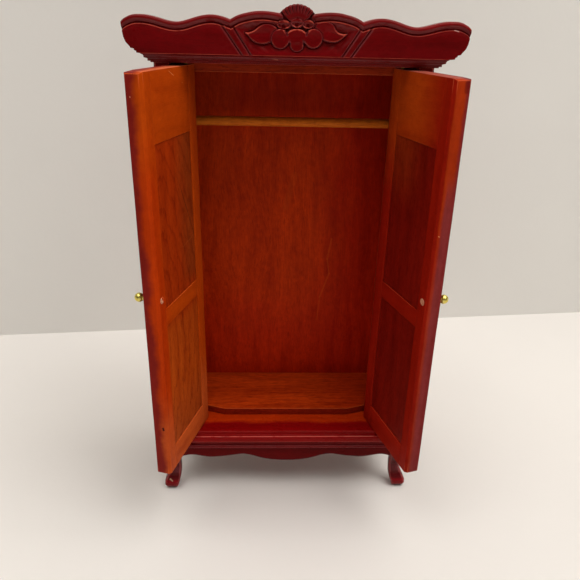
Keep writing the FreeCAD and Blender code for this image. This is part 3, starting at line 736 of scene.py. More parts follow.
# ---------------------------------------------------------------------------
# Doors
# ---------------------------------------------------------------------------
def door_stiles(side, upright, seed):
    hinge_round = 2.2          # radius of the outer corner at the hinge
    joint = OPENING_0 - 0.01
    outline = [(joint, 0.0), (joint, DOOR_T)]
    outline += [(hinge_round * (1 - math.sin(t)), DOOR_T - hinge_round * (1 - math.cos(t)))
                for t in np.linspace(0, math.pi / 2, 9)]
    outline += [(0.0, 0.32), (0.32, 0.0)]
    node = side + "_door_hinge_stile"
    mesh = soft_board(outline, DOOR.z0, DOOR.z1, 0.16, seed=seed + 1, amount=0.025)
    finish_piece(new_object(node + "_wood", mesh, upright), node, "frame")

    # broad chamfer on the inner free edge
    chamfer, ease = 0.8, 0.25
    joint = OPENING_1 + 0.01
    outline = [(joint, 0.0), (DOOR_W - chamfer, 0.0), (DOOR_W, chamfer),
               (DOOR_W, DOOR_T - ease), (DOOR_W - ease, DOOR_T), (joint, DOOR_T)]
    node = side + "_door_meeting_stile"
    mesh = soft_board(outline, DOOR.z0, DOOR.z1, 0.17, seed=seed + 2, amount=0.025)
    # the top free corner droops over its last millimetre
    for vert in mesh.verts:
        reach = max(0.0, vert.co.x / MM - (DOOR_W - 1.0))
        if vert.co.z / MM > DOOR.z1 - 0.5:
            vert.co.z -= 0.55 * reach * reach * MM
    finish_piece(new_object(node + "_wood", mesh, upright), node, "frame")


def door_rails(side, crosswise, seed):
    """Local X is up and local Z runs across the door."""
    rails = (("top", TOP_RAIL_Z, DOOR.z1), ("mid", MID_RAIL_Z0, MID_RAIL_Z1),
             ("bottom", DOOR.z0, BOTTOM_RAIL_Z))
    for i, (name, z0, z1) in enumerate(rails):
        node = f"{side}_door_{name}_rail"
        mesh = soft_board(rectangle(z0, z1, 0.02, DOOR_T - 0.02), OPENING_0 + 0.01,
                          OPENING_1 - 0.01, 0.12, step=5.0, seed=seed + 3 + i)
        finish_piece(new_object(node + "_wood", mesh, crosswise), node, "frame")


# (inset from the panel edge, depth), from the sunk inner face to the fielded outer face
PANEL_PROFILE = [(0.30, 0.30), (0.10, 0.32), (0.0, 0.42), (0.0, 3.30), (0.12, 3.42),
                 (0.55, 3.50), (1.3, 3.72), (2.1, 4.08), (2.45, 4.26), (2.60, 4.42),
                 (2.78, 4.45)]


def door_panels(side, upright, seed):
    gap = 0.07
    panels = (("upper", MID_RAIL_Z1, TOP_RAIL_Z), ("lower", BOTTOM_RAIL_Z, MID_RAIL_Z0))
    for i, (name, low, high) in enumerate(panels):
        node = f"{side}_door_{name}_panel"
        u0, u1, z0, z1 = OPENING_0 + gap, OPENING_1 - gap, low + gap, high - gap
        mesh = bmesh.new()
        rows = [[add_vert(mesh, u, depth, z)
                 for u, z in rectangle(u0 + inset, u1 - inset, z0 + inset, z1 - inset)]
                for inset, depth in PANEL_PROFILE]
        mesh.faces.new(rows[0])
        mesh.faces.new(rows[-1][::-1])
        skin_rows(mesh, rows)
        recalc(mesh)
        cut_across(mesh, 2, 5.0)
        cut_across(mesh, 0, 5.0)
        uneven(mesh, 0.03, 11.0, seed + 6 + i)
        finish_piece(new_object(node + "_wood", mesh, upright), node, "panel", 24)


for side, seed in (("left", 11), ("right", 23)):
    origin, across, outward = door_axes(side)
    upright = axes_matrix(origin, across, outward, UP)
    door_stiles(side, upright, seed)
    door_rails(side, axes_matrix(origin, UP, outward, across), seed)
    door_panels(side, upright, seed)


# Knobs: a turned ball on a waisted neck, with the riveted shank end on the inner face
KNOB_ACROSS, KNOB_Z = DOOR_W - 2.4, 88.5
BALL_R, BALL_CENTRE, NECK_R = 1.38, DOOR_T + 2.35, 0.66
# (radius, distance outwards from the inner face)
KNOB_SHANK = [
    (0.0, -0.10), (0.25, -0.10), (0.48, -0.08), (0.56, -0.14), (0.75, -0.16), (0.98, -0.12),
    (1.08, -0.03), (1.08, 0.05), (0.50, 0.06), (0.50, 0.3), (0.50, 4.2),
    (0.50, DOOR_T - 0.02), (0.98, DOOR_T - 0.01), (1.06, DOOR_T + 0.08),
    (1.05, DOOR_T + 0.22), (0.92, DOOR_T + 0.32), (0.70, DOOR_T + 0.42),
    (0.60, DOOR_T + 0.60), (0.60, DOOR_T + 0.80)]


def lathe(profile, segments):
    """Turned solid about local Y from (radius, height) points, pole to pole."""
    mesh = bmesh.new()
    rows = []
    for radius, height in profile:
        if radius < 1e-6:
            rows.append([add_vert(mesh, 0, height, 0)] * segments)
        else:
            turns = [2 * math.pi * i / segments for i in range(segments)]
            rows.append([add_vert(mesh, radius * math.cos(t), height, radius * math.sin(t))
                         for t in turns])
    skin_rows(mesh, rows)
    recalc(mesh)
    return mesh


def knob(side):
    node = side + "_door_knob"
    origin, across, outward = door_axes(side)
    neck_angle = math.pi - math.asin(NECK_R / BALL_R)
    ball = [(BALL_R * math.sin(t), BALL_CENTRE + BALL_R * math.cos(t))
            for t in np.linspace(neck_angle, 0.0, 26)[:-1]]
    mesh = lathe(KNOB_SHANK + ball + [(0.0, BALL_CENTRE + BALL_R)], 48)
    centre = origin + across * (KNOB_ACROSS * MM) + Vector((0, 0, KNOB_Z * MM))
    piece = new_object(node + "_turned", mesh, axes_matrix(centre, across, outward, UP))
    finish_piece(piece, node, "brass", 60)
    piece.data.materials.append(MATERIALS["peg"])
    piece.data.materials.append(MATERIALS["frame_" + side])
    # the shank end is bare on the right door, and bare on one part only on the left
    for face in piece.data.polygons:
        centre = face.center / MM
        if centre.y < 0.06:
            bare = side == "right" or (centre.x * 0.86 - centre.z * 0.5) > -0.1
            face.material_index = 1 if bare else 2


for side in ("left", "right"):
    knob(side)
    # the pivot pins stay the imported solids
    pins = frame["nodes"][side + "_door_pivot_pins"].data.materials
    pins.clear()
    pins.append(MATERIALS["brass"])


# ---------------------------------------------------------------------------
# Carcass boards
# ---------------------------------------------------------------------------
def board(node, material, matrix, outline, start, end, width, **softness):
    mesh = soft_board(outline, start, end, width, **softness)
    finish_piece(new_object(node + "_wood", mesh, matrix), node, material)


def side_boards(name, side):
    """A side panel and the jamb strip beside it; side is -1 on the left, 1 on the right."""
    thick = SIDE.x1 - SIDE.x0
    depth = BACK_Y - SIDE.y0
    chamfer = 0.6
    outline = [(0, chamfer), (chamfer, 0), (depth, 0), (depth, thick), (chamfer, thick),
               (0, thick - chamfer)]
    matrix = axes_matrix(toe_point(side * SIDE.x0, SIDE.y0, 0), BACK, RIGHT * side, UP)
    board(name + "_side_panel", "side", matrix, outline, BASE.z1, CAP.z0, 0.18,
          seed=31 + side)
    jamb = box_mm(name + "_jamb_strip")
    x0, x1 = sorted((abs(jamb.x0), abs(jamb.x1)))
    matrix = axes_matrix(toe_point(0, 0, 0), RIGHT * side, -BACK, UP)
    board(name + "_jamb_strip", "inner", matrix, rectangle(x0, x1, -jamb.y1, -jamb.y0),
          BASE.z1, CAP.z0, 0.2, seed=35 + side)


def back_panel():
    box = box_mm("back_panel")
    half = SIDE.x0 - 0.03
    board("back_panel", "back", axes_matrix(toe_point(0, 0, 0), RIGHT, BACK, UP),
          rectangle(-half, half, box.y0, box.y1 - 0.05), BASE.z1, CAP.z0, 0.08,
          segments=2, step=8.0, seed=41, amount=0.03)


def door_stop_rail():
    box = box_mm("door_stop_rail")
    board("door_stop_rail", "inner", ALONG_X, rectangle(box.z0, box.z1, -box.y1, -box.y0),
          box.x0, box.x1, 0.22, seed=43)


def floor_board():
    """Floor with clipped front corners, notched round the jamb strips."""
    box = box_mm("floor_board")
    jamb = box_mm("left_jamb_strip")
    jamb_x, jamb_y = abs(jamb.x1), jamb.y1
    front_half, clip_y = 22.9, 11.3
    right_half = [(front_half, box.y0), (jamb_x, clip_y), (jamb_x, jamb_y),
                  (SIDE.x0, jamb_y), (SIDE.x0, box.y1)]
    left_half = [(-x, y) for x, y in right_half[::-1]]
    mesh = prism(left_half[-1:] + right_half + left_half[:-1], box.z0, box.z1)
    cut_across(mesh, 0, 6.0)
    bevel_edges(mesh, 0.22)
    uneven(mesh, 0.02, 9.0, 51)
    matrix = grain_along_x(mesh, shift=0)
    piece = finish_piece(new_object("floor_board_wood", mesh, matrix), "floor_board", "floor")
    piece.data.materials.append(MATERIALS["floor_edge"])
    for face in piece.data.polygons:
        if abs(face.normal.x) < 0.35:
            face.material_index = 1


def hanging_rod():
    """A turned dowel, a little uneven along its length."""
    low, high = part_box("hanging_rod")
    radius = (high.z - low.z) / 2 / MM
    half = (high.x - low.x) / 2 / MM
    mesh = bmesh.new()
    rows = []
    for along in np.linspace(-half, half, 60):
        swell = radius * (1 + 0.006 * math.sin(along * 0.31) + 0.004 * math.sin(along * 0.83 + 1))
        rows.append([add_vert(mesh, swell * math.cos(t), swell * math.sin(t), along)
                     for t in np.linspace(0, 2 * math.pi, 37)[:-1]])
    loft(mesh, rows)
    matrix = axes_matrix((low + high) / 2, BACK, UP, RIGHT)
    finish_piece(new_object("hanging_rod_dowel", mesh, matrix), "hanging_rod", "rod")


side_boards("left", -1)
side_boards("right", 1)
back_panel()
door_stop_rail()
floor_board()
hanging_rod()
board("cap_board", "red", ALONG_X, rectangle(CAP.z0, CAP.z1, -BACK_Y, 0.2), -SIDE.x1, SIDE.x1,
      0.12, segments=2, step=8.0, seed=61)


# ---------------------------------------------------------------------------
# Base plate and the moulding under it.  Profiles are (out, z); out = 0 is the upper edge
# of the plate, at EDGE_X on the sides and EDGE_Y in front.
# ---------------------------------------------------------------------------
EDGE_X = SIDE.x1 + 1.43
EDGE_Y = BASE.y0 + 1.47
MOULDING_TOP, MOULDING_BOTTOM = BASE.z0, box_mm("base_moulding_front").z0
MOULDING_INNER_X, MOULDING_INNER_Y = 38.2, 2.4


def soften(profile, radius, steps):
    """Rounds the corners of an open profile, except nearly straight ones."""
    points = [profile[0]]
    for before, corner, after in zip(profile, profile[1:], profile[2:]):
        to_before = np.array(before) - corner
        to_after = np.array(after) - corner
        len_before, len_after = np.linalg.norm(to_before), np.linalg.norm(to_after)
        if min(len_before, len_after) < 1e-6:
            continue
        if to_before @ to_after / len_before / len_after < -0.93:
            points.append(corner)
            continue
        cut = min(radius, len_before * 0.45, len_after * 0.45)
        start = np.array(corner) + to_before / len_before * cut
        end = np.array(corner) + to_after / len_after * cut
        for t in np.linspace(0, 1, steps + 1):
            point = (1 - t) ** 2 * start + 2 * t * (1 - t) * np.array(corner) + t ** 2 * end
            points.append((float(point[0]), float(point[1])))
    return points + [profile[-1]]


def profile_values(mesh, spots):
    """Strength near lines of a moulding; spots are (out, z, strength, reach)."""
    values = []
    for vert in mesh.verts:
        x, y, z = vert.co.x / MM, vert.co.y / MM - SHIFT, vert.co.z / MM
        out = max(EDGE_Y - y, abs(x) - EDGE_X)
        values.append(max(strength * math.exp(-((out - o) ** 2 + (z - h) ** 2) / reach ** 2)
                          for o, h, strength, reach in spots))
    return values


def base_board():
    """The plate; its edge profile runs round the front and both sides."""
    top, bottom = BASE.z1, BASE.z0
    round_r, round_out, round_z = 0.67, 0.80, top - 2.19
    profile = [(-0.6, top), (0.0, top), (0.0, top - 1.20), (0.10, top - 1.42),
               (0.30, top - 1.50), (0.80, top - 1.52)]
    profile += [(round_out + round_r * math.sin(t), round_z + round_r * math.cos(t))
                for t in np.linspace(0, math.pi / 2, 9)[1:]]
    profile = soften(profile + [(1.47, bottom + 0.05), (1.30, bottom)], 0.15, 3)
    # stations (x share, y share): left side to the front, along the front, right side back
    stations = [(-1, share) for share in np.linspace(0, 1, 9)[:-1]]
    stations += [(share, 1) for share in np.linspace(-1, 1, 24)]
    stations += [(1, share) for share in np.linspace(1, 0, 9)[1:]]
    mesh = bmesh.new()
    rows = [[add_vert(mesh, (EDGE_X + out) * x_share,
                      BACK_Y + y_share * ((EDGE_Y - out) - BACK_Y) + SHIFT, z)
             for out, z in profile] for x_share, y_share in stations]
    skin_rows(mesh, rows, closed=False)
    mesh.faces.new([row[0] for row in rows])
    mesh.faces.new([row[-1] for row in rows][::-1])
    mesh.faces.new(rows[0] + rows[-1][::-1])
    recalc(mesh)
    # worn stain and painted highlight lines on the upper arris, the top of the round and the lower arris
    wear = profile_values(mesh, ((0.02, top - 0.02, 0.60, 0.14), (1.05, top - 1.60, 0.80, 0.26),
                                 (1.46, bottom + 0.10, 0.48, 0.12)))
    uneven(mesh, 0.02, 8.0, 5)
    piece = new_object("base_board_wood", mesh, grain_along_x(mesh))
    put_attribute(piece, "wear", wear)
    finish_piece(piece, "base_board", "base", 38)


def moulding_profile():
    """A cove, a step and a bead, from the top down."""
    top = MOULDING_TOP
    cove = [(0.95, top), (0.95, top - 0.16)]
    for t in np.linspace(0, 1, 6)[1:] * math.pi / 2:
        cove.append((0.95 - 0.48 * math.sin(t), top - 0.16 - 1.10 * (1 - math.cos(t))))
    cove += [(0.47, top - 1.72), (0.80, top - 1.80), (0.87, top - 1.88), (0.87, top - 2.12),
             (0.80, top - 2.20)]
    for t in np.linspace(-math.pi / 2, math.pi / 2, 9)[1:-1]:
        cove.append((0.82 + 0.37 * math.cos(t), top - 2.58 - 0.38 * math.sin(t)))
    return soften(cove + [(0.80, top - 2.96), (0.47, MOULDING_BOTTOM)], 0.06, 2)


def base_moulding(name, side):
    """One mitred run; side is 0 in front, -1 on the left and 1 on the right."""
    top = MOULDING_TOP
    section = [(EDGE_X + out, EDGE_Y - out, z) for out, z in moulding_profile()]
    section += [(MOULDING_INNER_X, MOULDING_INNER_Y, MOULDING_BOTTOM),
                (MOULDING_INNER_X, MOULDING_INNER_Y, top)]
    mesh = bmesh.new()
    rows = []
    for t in np.linspace(0, 1, 14 if side else 70):
        row = []
        for x, y, z in section:
            if side:
                x, y = side * x, y + (BACK_Y - y) * t
            else:
                x = -x + 2 * x * t
                if -2.3 < z - top < -1.7:
                    # a run of old glue stands up from the bead near the left end
                    lump = 0.42 * math.exp(-((x + 35.2) / 1.6) ** 2)
                    y, z = y - lump * 0.3, z + lump
            row.append(add_vert(mesh, x, y + SHIFT, z))
        rows.append(row)
    loft(mesh, rows)
    # worn stain with painted highlights on the ledge and the bead, and a painted grey reflection on the step and
    # the bead
    wear = profile_values(mesh, ((0.80, top - 1.80, 0.35, 0.14), (1.05, top - 2.92, 1.0, 0.17)))
    bloom = profile_values(mesh, ((0.87, top - 2.00, 0.55, 0.30), (1.15, top - 2.55, 0.45, 0.25)))
    uneven(mesh, 0.03, 7.0, 9)
    node = "base_moulding_" + name
    matrix = grain_along_y(mesh) if side else grain_along_x(mesh)
    piece = new_object(node + "_wood", mesh, matrix)
    put_attribute(piece, "wear", wear)
    put_attribute(piece, "bloom", bloom)
    finish_piece(piece, node, "red", 38)


base_board()
for name, side in (("front", 0), ("left", -1), ("right", 1)):
    base_moulding(name, side)

# ---------------------------------------------------------------------------
# Aprons with scalloped lower edges
# ---------------------------------------------------------------------------
FRONT_APRON = box_mm("front_apron")
APRON_TOP = FRONT_APRON.z1
front_scallop = cubic(          # x, then height of the lower edge
    [-9.4, -6.2, -3.0, 0.0, 3.0, 6.2, 9.4, 12.4, 14.6,
     16.4, 18.6, 21.5, 25.0, 28.2, 31.4, 34.2, 36.2, FRONT_APRON.x1],
    [14.40, 13.70, 13.35, 13.27, 13.35, 13.70, 14.40, 15.45, 16.0,
     16.12, 15.85, 15.35, 14.98, 14.85, 15.35, 15.85, 15.80, 15.05])
side_scallop = cubic(           # toe y, then height of the lower edge
    [5.0, 7.3, 9.9, 13.1, 17.35, 21.6, 24.8, 27.4, 29.7],
    [15.0, 15.7, 16.0, 15.0, 14.1, 15.0, 16.0, 15.7, 15.0])


def apron_mesh(alongs, lower_edges, outer, inner, place):
    """Board with a shaped lower edge, rounded outside and eased inside.  Depths run from
    outer to inner; place maps (along, depth, z) to frame millimetres."""
    round_depth, round_z, ease = 0.75, 1.0, 0.2
    mesh = bmesh.new()
    rows = []
    for along, low in zip(alongs, lower_edges):
        section = [(outer, low + round_z + (APRON_TOP - low - round_z) * share)
                   for share in (1.0, 0.7, 0.4, 0.15)]
        section += [(outer + round_depth * (1 - math.cos(t)), low + round_z * (1 - math.sin(t)))
                    for t in np.linspace(0, math.pi / 2, 6)]
        section += [(inner - ease * (1 - math.cos(t)), low + ease * (1 - math.sin(t)))
                    for t in np.linspace(math.pi / 2, 0, 4)[1:]]
        section += [(inner, low + ease + (APRON_TOP - low - ease) * share)
                    for share in (0.5, 1.0)]
        rows.append([add_vert(mesh, *place(along, depth, z)) for depth, z in section])
    loft(mesh, rows)
    return mesh


def front_apron():
    xs = np.linspace(-FRONT_APRON.x1, FRONT_APRON.x1, 150)
    mesh = apron_mesh(xs, front_scallop(np.abs(xs)), FRONT_APRON.y0, FRONT_APRON.y1,
                      lambda along, depth, z: (along, depth + SHIFT, z))
    uneven(mesh, 0.03, 7.0, 13)
    finish_piece(new_object("front_apron_wood", mesh, grain_along_x(mesh)), "front_apron",
                 "apron", 40)


def side_apron(name, side):
    node = name + "_apron"
    box = box_mm(node)
    x_in, x_out = sorted((abs(box.x0), abs(box.x1)))
    ys = np.linspace(box.y0, box.y1, 60)
    mesh = apron_mesh(ys, side_scallop(ys), 0.0, x_out - x_in,
                      lambda along, depth, z: (side * (x_out - depth), along + SHIFT, z))
    matrix = grain_along_y(mesh, side)
    finish_piece(new_object(node + "_wood", mesh, matrix), node, "apron", 40)


front_apron()
side_apron("left", -1)
side_apron("right", 1)

# ---------------------------------------------------------------------------
# Feet: a knee, a waisted ankle and a chamfered toe pad
# ---------------------------------------------------------------------------
FOOT_TOP = box_mm("front_left_foot").z1
FOOT = [  # height, inner x, outer x, front y, back y, squareness of the section
    (0.00, 41.45, 44.20, 0.10, 3.30, 7.0),
    (0.20, 41.10, 44.55, -0.20, 3.60, 7.0),
    (1.15, 40.55, 45.25, -0.85, 4.15, 6.0),
    (1.90, 40.30, 45.60, -1.15, 4.40, 5.5),
    (3.10, 39.95, 45.55, -1.15, 4.50, 5.0),
    (3.70, 39.80, 45.30, -0.90, 4.55, 4.2),
    (4.60, 39.60, 44.80, -0.30, 4.60, 3.4),
    (5.80, 39.42, 44.25, 0.25, 4.60, 2.9),
    (7.90, 39.25, 43.45, 0.75, 4.50, 2.6),
    (9.60, 39.20, 43.10, 0.85, 4.45, 2.8),
    (12.0, 39.25, 43.60, 0.25, 4.60, 3.2),
    (14.0, 39.10, 44.10, -0.35, 4.75, 3.8),
    (16.0, 38.85, 44.10, -0.50, 4.80, 5.0),
    (17.6, 38.70, 43.80, -0.40, 4.80, 8.0),
    (FOOT_TOP, 38.70, 43.50, -0.30, 4.80, 12.0),
]
REAR_FOOT_Y, REAR_FOOT_HALF = 33.2, 2.3
FOOT_SEGMENTS = 56


def foot_stations():
    """Heights, and the other columns of FOOT at them; corners eased, less so on the toe."""
    heights = np.concatenate([[0.0, 0.06, 0.20], np.linspace(0.42, 4.6, 30),
                              np.linspace(4.75, FOOT_TOP, 50)])
    table = np.array(FOOT).T
    columns = [np.interp(heights, table[0], column) for column in table[1:]]
    eased = (heights > 0.3) & (heights < FOOT_TOP - 0.5)
    pull = (np.where(heights > 3.9, 0.5, 0.12) * eased)[1:-1]
    for column in columns:
        for _ in range(3):
            column[1:-1] = (column[1:-1] * (1 - pull)
                            + pull * 0.5 * (column[:-2] + column[2:]))
    return heights, columns


def foot(node, side, front, shift_y, seed):
    mesh = bmesh.new()
    rows = []
    heights, columns = foot_stations()
    for z, x_in, x_out, y_front, y_back, power in zip(heights, *columns):
        if not front:
            # the rear feet keep a nearly constant depth
            y_front = REAR_FOOT_Y - REAR_FOOT_HALF + 0.12 * (y_front + 0.3)
            y_back = REAR_FOOT_Y + REAR_FOOT_HALF
        row = []
        for i in range(FOOT_SEGMENTS):
            turn = 2 * math.pi * (i + 0.5) / FOOT_SEGMENTS
            cos, sin = math.cos(turn), math.sin(turn)
            radius = (abs(cos) ** power + abs(sin) ** power) ** (-1.0 / power)
            dx, dy = radius * cos, radius * sin
            x = (x_in + x_out) / 2 + (x_out - x_in) / 2 * dx
            y = (y_front + y_back) / 2 + (y_back - y_front) / 2 * dy
            if front:
                # the front face is scooped above the toe and at the ankle
                scoop = (0.42 * math.exp(-((z - 5.0) / 1.5) ** 2)
                         + 0.30 * math.exp(-((z - 9.2) / 1.6) ** 2))
                y += scoop * max(0.0, -dy) ** 2 * (1 - abs(dx) ** 2)
            row.append(add_vert(mesh, side * x, y + shift_y + SHIFT, z))
        rows.append(row)
    loft(mesh, rows)
    uneven(mesh, 0.05, 3.0, seed)
    # the sole stands flat on the ground
    for vert in mesh.verts:
        if vert.co.z < 0.00005:
            vert.co.z = 0.0
    finish_piece(new_object(node + "_carved", mesh), node, "foot", 32)


foot("front_left_foot", -1, front=True, shift_y=-0.35, seed=71)
foot("front_right_foot", 1, front=True, shift_y=0.35, seed=72)
foot("rear_left_foot", -1, front=False, shift_y=0.0, seed=73)
foot("rear_right_foot", 1, front=False, shift_y=0.0, seed=74)


# ---------------------------------------------------------------------------
# Crown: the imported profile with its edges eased
# ---------------------------------------------------------------------------
def crown(node, turn_grain, step=None):
    mesh = bmesh.new()
    mesh.from_mesh(frame["nodes"][node].data)
    bmesh.ops.remove_doubles(mesh, verts=mesh.verts, dist=2e-6)
    bmesh.ops.dissolve_limit(mesh, angle_limit=math.radians(0.6), verts=mesh.verts,
                             edges=mesh.edges)
    recalc(mesh)
    bevel_edges(mesh, 0.10, segments=2, angle=24)
    if step:
        cut_across(mesh, 0, step)
    matrix = turn_grain(mesh)
    return finish_piece(new_object(node + "_wood", mesh, matrix), node, "red", 30)


def crown_painted_sheen(piece):
    """Painted grey sheen along one line of the front crown and towards its ends."""
    line_z, line_reach = 152.88, 0.16
    points = np.empty(len(piece.data.vertices) * 3, dtype=np.float32)
    piece.data.vertices.foreach_get("co", points)
    height = points[0::3] / MM
    along = np.abs(points[2::3]) / MM
    bloom = 0.9 * np.exp(-((height - line_z) / line_reach) ** 2)
    ends = 0.8 * np.clip((along - 33.0) / 3.5, 0, 1) * np.clip((height - 151.55) / 0.3, 0, 1)
    put_attribute(piece, "bloom", np.maximum(bloom, ends))


crown_painted_sheen(crown("crown_moulding_front", grain_along_x, step=3.0))
crown("crown_moulding_left", grain_along_y)
crown("crown_moulding_right", grain_along_y)

# ---------------------------------------------------------------------------
# Carved pediment: a relief grid, where depth is measured behind the frontmost plane
# ---------------------------------------------------------------------------
wave = cubic(                   # distance from the middle, then height of the top edge
    [18.0, 19.2, 21.0, 23.1, 25.0, 27.4, 30.4, 32.4,
     34.4, 37.0, 39.9, 42.2, 44.4, 45.9, 46.6, 47.0],
    [162.55, 162.95, 163.40, 163.60, 163.42, 162.85, 161.95, 161.65,
     161.85, 162.50, 163.12, 163.27, 163.0, 162.35, 161.9, 161.5])
arch = cubic([4.4, 5.4, 7.2, 9.4, 11.6, 14.0, 16.4, 18.0],
             [164.3, 164.42, 164.66, 164.76, 164.62, 164.15, 163.4, 162.55])
SHELL_Z = 160.48
SHELL_R = PEDIMENT.z1 - SHELL_Z
SHELL_HALF_ANGLE = 48.5
# outline of the ends: height, then distance from the middle
END_Z = [153.6, 153.70, 154.16, 154.30, 154.74, 154.90, 155.3, 156.35, 157.6, 159.5, 161.5]
END_X = [42.4, 43.40, 43.50, 43.95, 44.10, 44.95, 45.15, 46.10, 46.60, 46.88, 47.0]
RIGHT_END = 0.40                # the right end runs out further than the left
# rim section: distance below the top edge, then depth
RIM_BELOW = [0.0, 0.08, 0.22, 0.45, 0.75, 0.95, 1.15, 1.35, 1.55,
             1.70, 1.82, 1.92, 2.02, 2.12, 2.22, 2.34, 2.6, 3.2]
RIM_DEPTH = [0.95, 0.62, 0.36, 0.16, 0.06, 0.08, 0.20, 0.36, 0.52,
             0.66, 0.84, 0.90, 0.78, 0.50, 0.32, 0.27, 0.27, 0.30]
# diagonal grooves of the right half, upper (x, z) to lower (x, z)
GROOVES = (((20.15, 160.76), (14.85, 153.3)), ((17.14, 160.45), (12.41, 153.3)))
LEFT_LEAF = [
    (-14.2, 159.38), (-13.2, 159.42), (-12.3, 159.65), (-11.4, 160.1), (-10.6, 160.75),
    (-9.5, 161.4), (-8.3, 161.66), (-6.8, 161.41), (-5.2, 160.5), (-4.9, 158.5),
    (-6.6, 157.3), (-7.8, 156.8), (-9.2, 156.49), (-10.86, 156.73), (-12.24, 157.4),
    (-13.3, 158.55)]
RIGHT_LEAF = [
    (13.7, 159.66), (12.9, 159.52), (12.0, 159.62), (11.2, 159.9), (10.55, 160.5),
    (10.15, 161.2), (9.5, 161.95), (8.4, 162.42), (6.9, 162.45), (5.3, 161.9), (4.7, 160.0),
    (6.4, 158.2), (7.9, 157.57), (9.3, 157.29), (10.7, 157.37), (12.05, 158.0),
    (13.1, 158.9)]
HOODED_PETALS = (  # centre x, centre z, half width, half height, depth of the top
    (-3.62, 161.52, 1.95, 1.18, 0.12), (2.90, 161.72, 1.68, 1.14, 0.12),
    (-0.12, 161.98, 1.74, 1.22, 0.04))
PETAL_CUTS = (     # three (x, z) points each, deepest at the first
    ((-2.25, 155.95), (-2.02, 156.9), (-1.72, 157.75)),
    ((2.25, 156.15), (1.80, 157.2), (1.42, 158.0)),
    ((-3.05, 159.75), (-2.75, 159.2), (-2.60, 158.75)),
    ((2.85, 159.85), (2.62, 159.3), (2.50, 158.85)))


def top_edge(x):
    off = np.abs(x)
    shell = SHELL_Z + np.sqrt(np.maximum(SHELL_R ** 2 - off ** 2 * 1.02, 0.0))
    angle = np.degrees(np.arctan2(off, shell - SHELL_Z))
    shell = shell + 0.05 * np.cos(angle / 10.0 * 2 * math.pi)
    return np.where(off < 4.55, shell, np.where(off < 18.0, arch(np.clip(off, 4.4, 18.0)),
                                                wave(np.clip(off, 18.0, 47.0))))


def below_rim(x, z):
    """Distance below the top edge, square to it."""
    slope = np.clip((top_edge(x + 0.05) - top_edge(x - 0.05)) / 0.1, -1.2, 1.2)
    slope = slope * (1 - 0.45 * smoothstep(43.5, 45.5, np.abs(x)))
    return (top_edge(x) - z) / np.sqrt(1 + slope ** 2)


def smoothstep(low, high, value):
    t = np.clip((value - low) / (high - low), 0, 1)
    return t * t * (3 - 2 * t)


def bell(distance, reach):
    return np.exp(-(distance / reach) ** 2)


def segment_distance(x, z, start, end):
    dx, dz = end[0] - start[0], end[1] - start[1]
    t = np.clip(((x - start[0]) * dx + (z - start[1]) * dz) / (dx * dx + dz * dz), 0, 1)
    return np.hypot(x - start[0] - t * dx, z - start[1] - t * dz)


def polygon_distance(x, z, points):
    """Distance to a closed polygon, negative inside."""
    distance = np.full(x.shape, 1e9)
    inside = np.zeros(x.shape, bool)
    for a, b in zip(points, points[1:] + points[:1]):
        distance = np.minimum(distance, segment_distance(x, z, a, b))
        crossing = (b[0] - a[0]) * (z - a[1]) / (b[1] - a[1] + 1e-12) + a[0]
        inside ^= ((a[1] > z) != (b[1] > z)) & (x < crossing)
    return np.where(inside, -distance, distance)


def ellipse_distance(x, z, centre_x, centre_z, half_x, half_z):
    """Rough distance to an ellipse, negative inside."""
    return (np.hypot((x - centre_x) / half_x, (z - centre_z) / half_z) - 1) * min(half_x, half_z)


def closed_curve(points, steps):
    """Catmull-Rom curve through a closed list of points."""
    points = [np.array(p, float) for p in points]
    count = len(points)
    curve = []
    for i in range(count):
        p0, p1, p2, p3 = (points[(i + k) % count] for k in (-1, 0, 1, 2))
        for t in np.linspace(0, 1, steps + 1)[:-1]:
            q = 0.5 * ((2 * p1) + (-p0 + p2) * t + (2 * p0 - 5 * p1 + 4 * p2 - p3) * t ** 2
                       + (-p0 + 3 * p1 - 3 * p2 + p3) * t ** 3)
            curve.append((float(q[0]), float(q[1])))
    return curve


def raise_shape(depth, distance, top, wall, ease, dish):
    """A raised shape with an eased edge and a steep wall, slightly dished, with the ground
    cut deeper next to it."""
    inward = np.clip(-distance / ease, 0, 1)
    dome = (top + wall * (1 - np.sqrt(np.clip(1 - (1 - inward) ** 2, 0, 1)))
            + dish * smoothstep(0.25, 1.8, -distance))
    return np.where(distance <= 0, dome, depth + 0.18 * bell(np.maximum(distance, 0), 0.24))


def carve_grooves(depth, x, z, below):
    """Diagonal double grooves, wider on one flank, mirrored left and right."""
    for side in (-1, 1):
        for upper, lower in GROOVES:
            dx, dz = upper[0] - lower[0], upper[1] - lower[1]
            start = (side * (upper[0] + dx * 0.10), upper[1] + dz * 0.10)
            distance = segment_distance(x, z, start, (side * lower[0], lower[1]))
            flank = (x * side - upper[0]) * -dz + (z - upper[1]) * dx
            share = np.where(flank > 0, distance / 0.46, distance / 0.24)
            depth = np.where(below > 1.9, depth + 0.60 * np.clip(1 - share, 0, 1), depth)
    return depth


def sink_ground(depth, x, z, below):
    """Sunk ground between the inner grooves, with gouge marks."""
    upper, lower = (17.14, 160.45), (12.41, 153.67)
    dx, dz = upper[0] - lower[0], upper[1] - lower[1]
    flank = ((upper[0] - np.abs(x)) * dz - (upper[1] - z) * dx) / math.hypot(dx, dz)
    border = np.minimum(np.minimum(flank, (below - 2.2) * 1.3), (z - 153.6) * 0.62)
    ground = 0.85 * smoothstep(0.0, 2.2, border - 0.15) * (0.88 + 0.12 * np.cos(x * 1.3 + z))
    gouges = np.sin(x * 2.3 + 1.6 * np.sin(z * 1.1) - 1.4 * (z - 155) * np.sign(x))
    gouges = 0.07 * gouges * smoothstep(0.25, 1.2, border)
    return np.where(border > 0, depth + ground + gouges, depth)


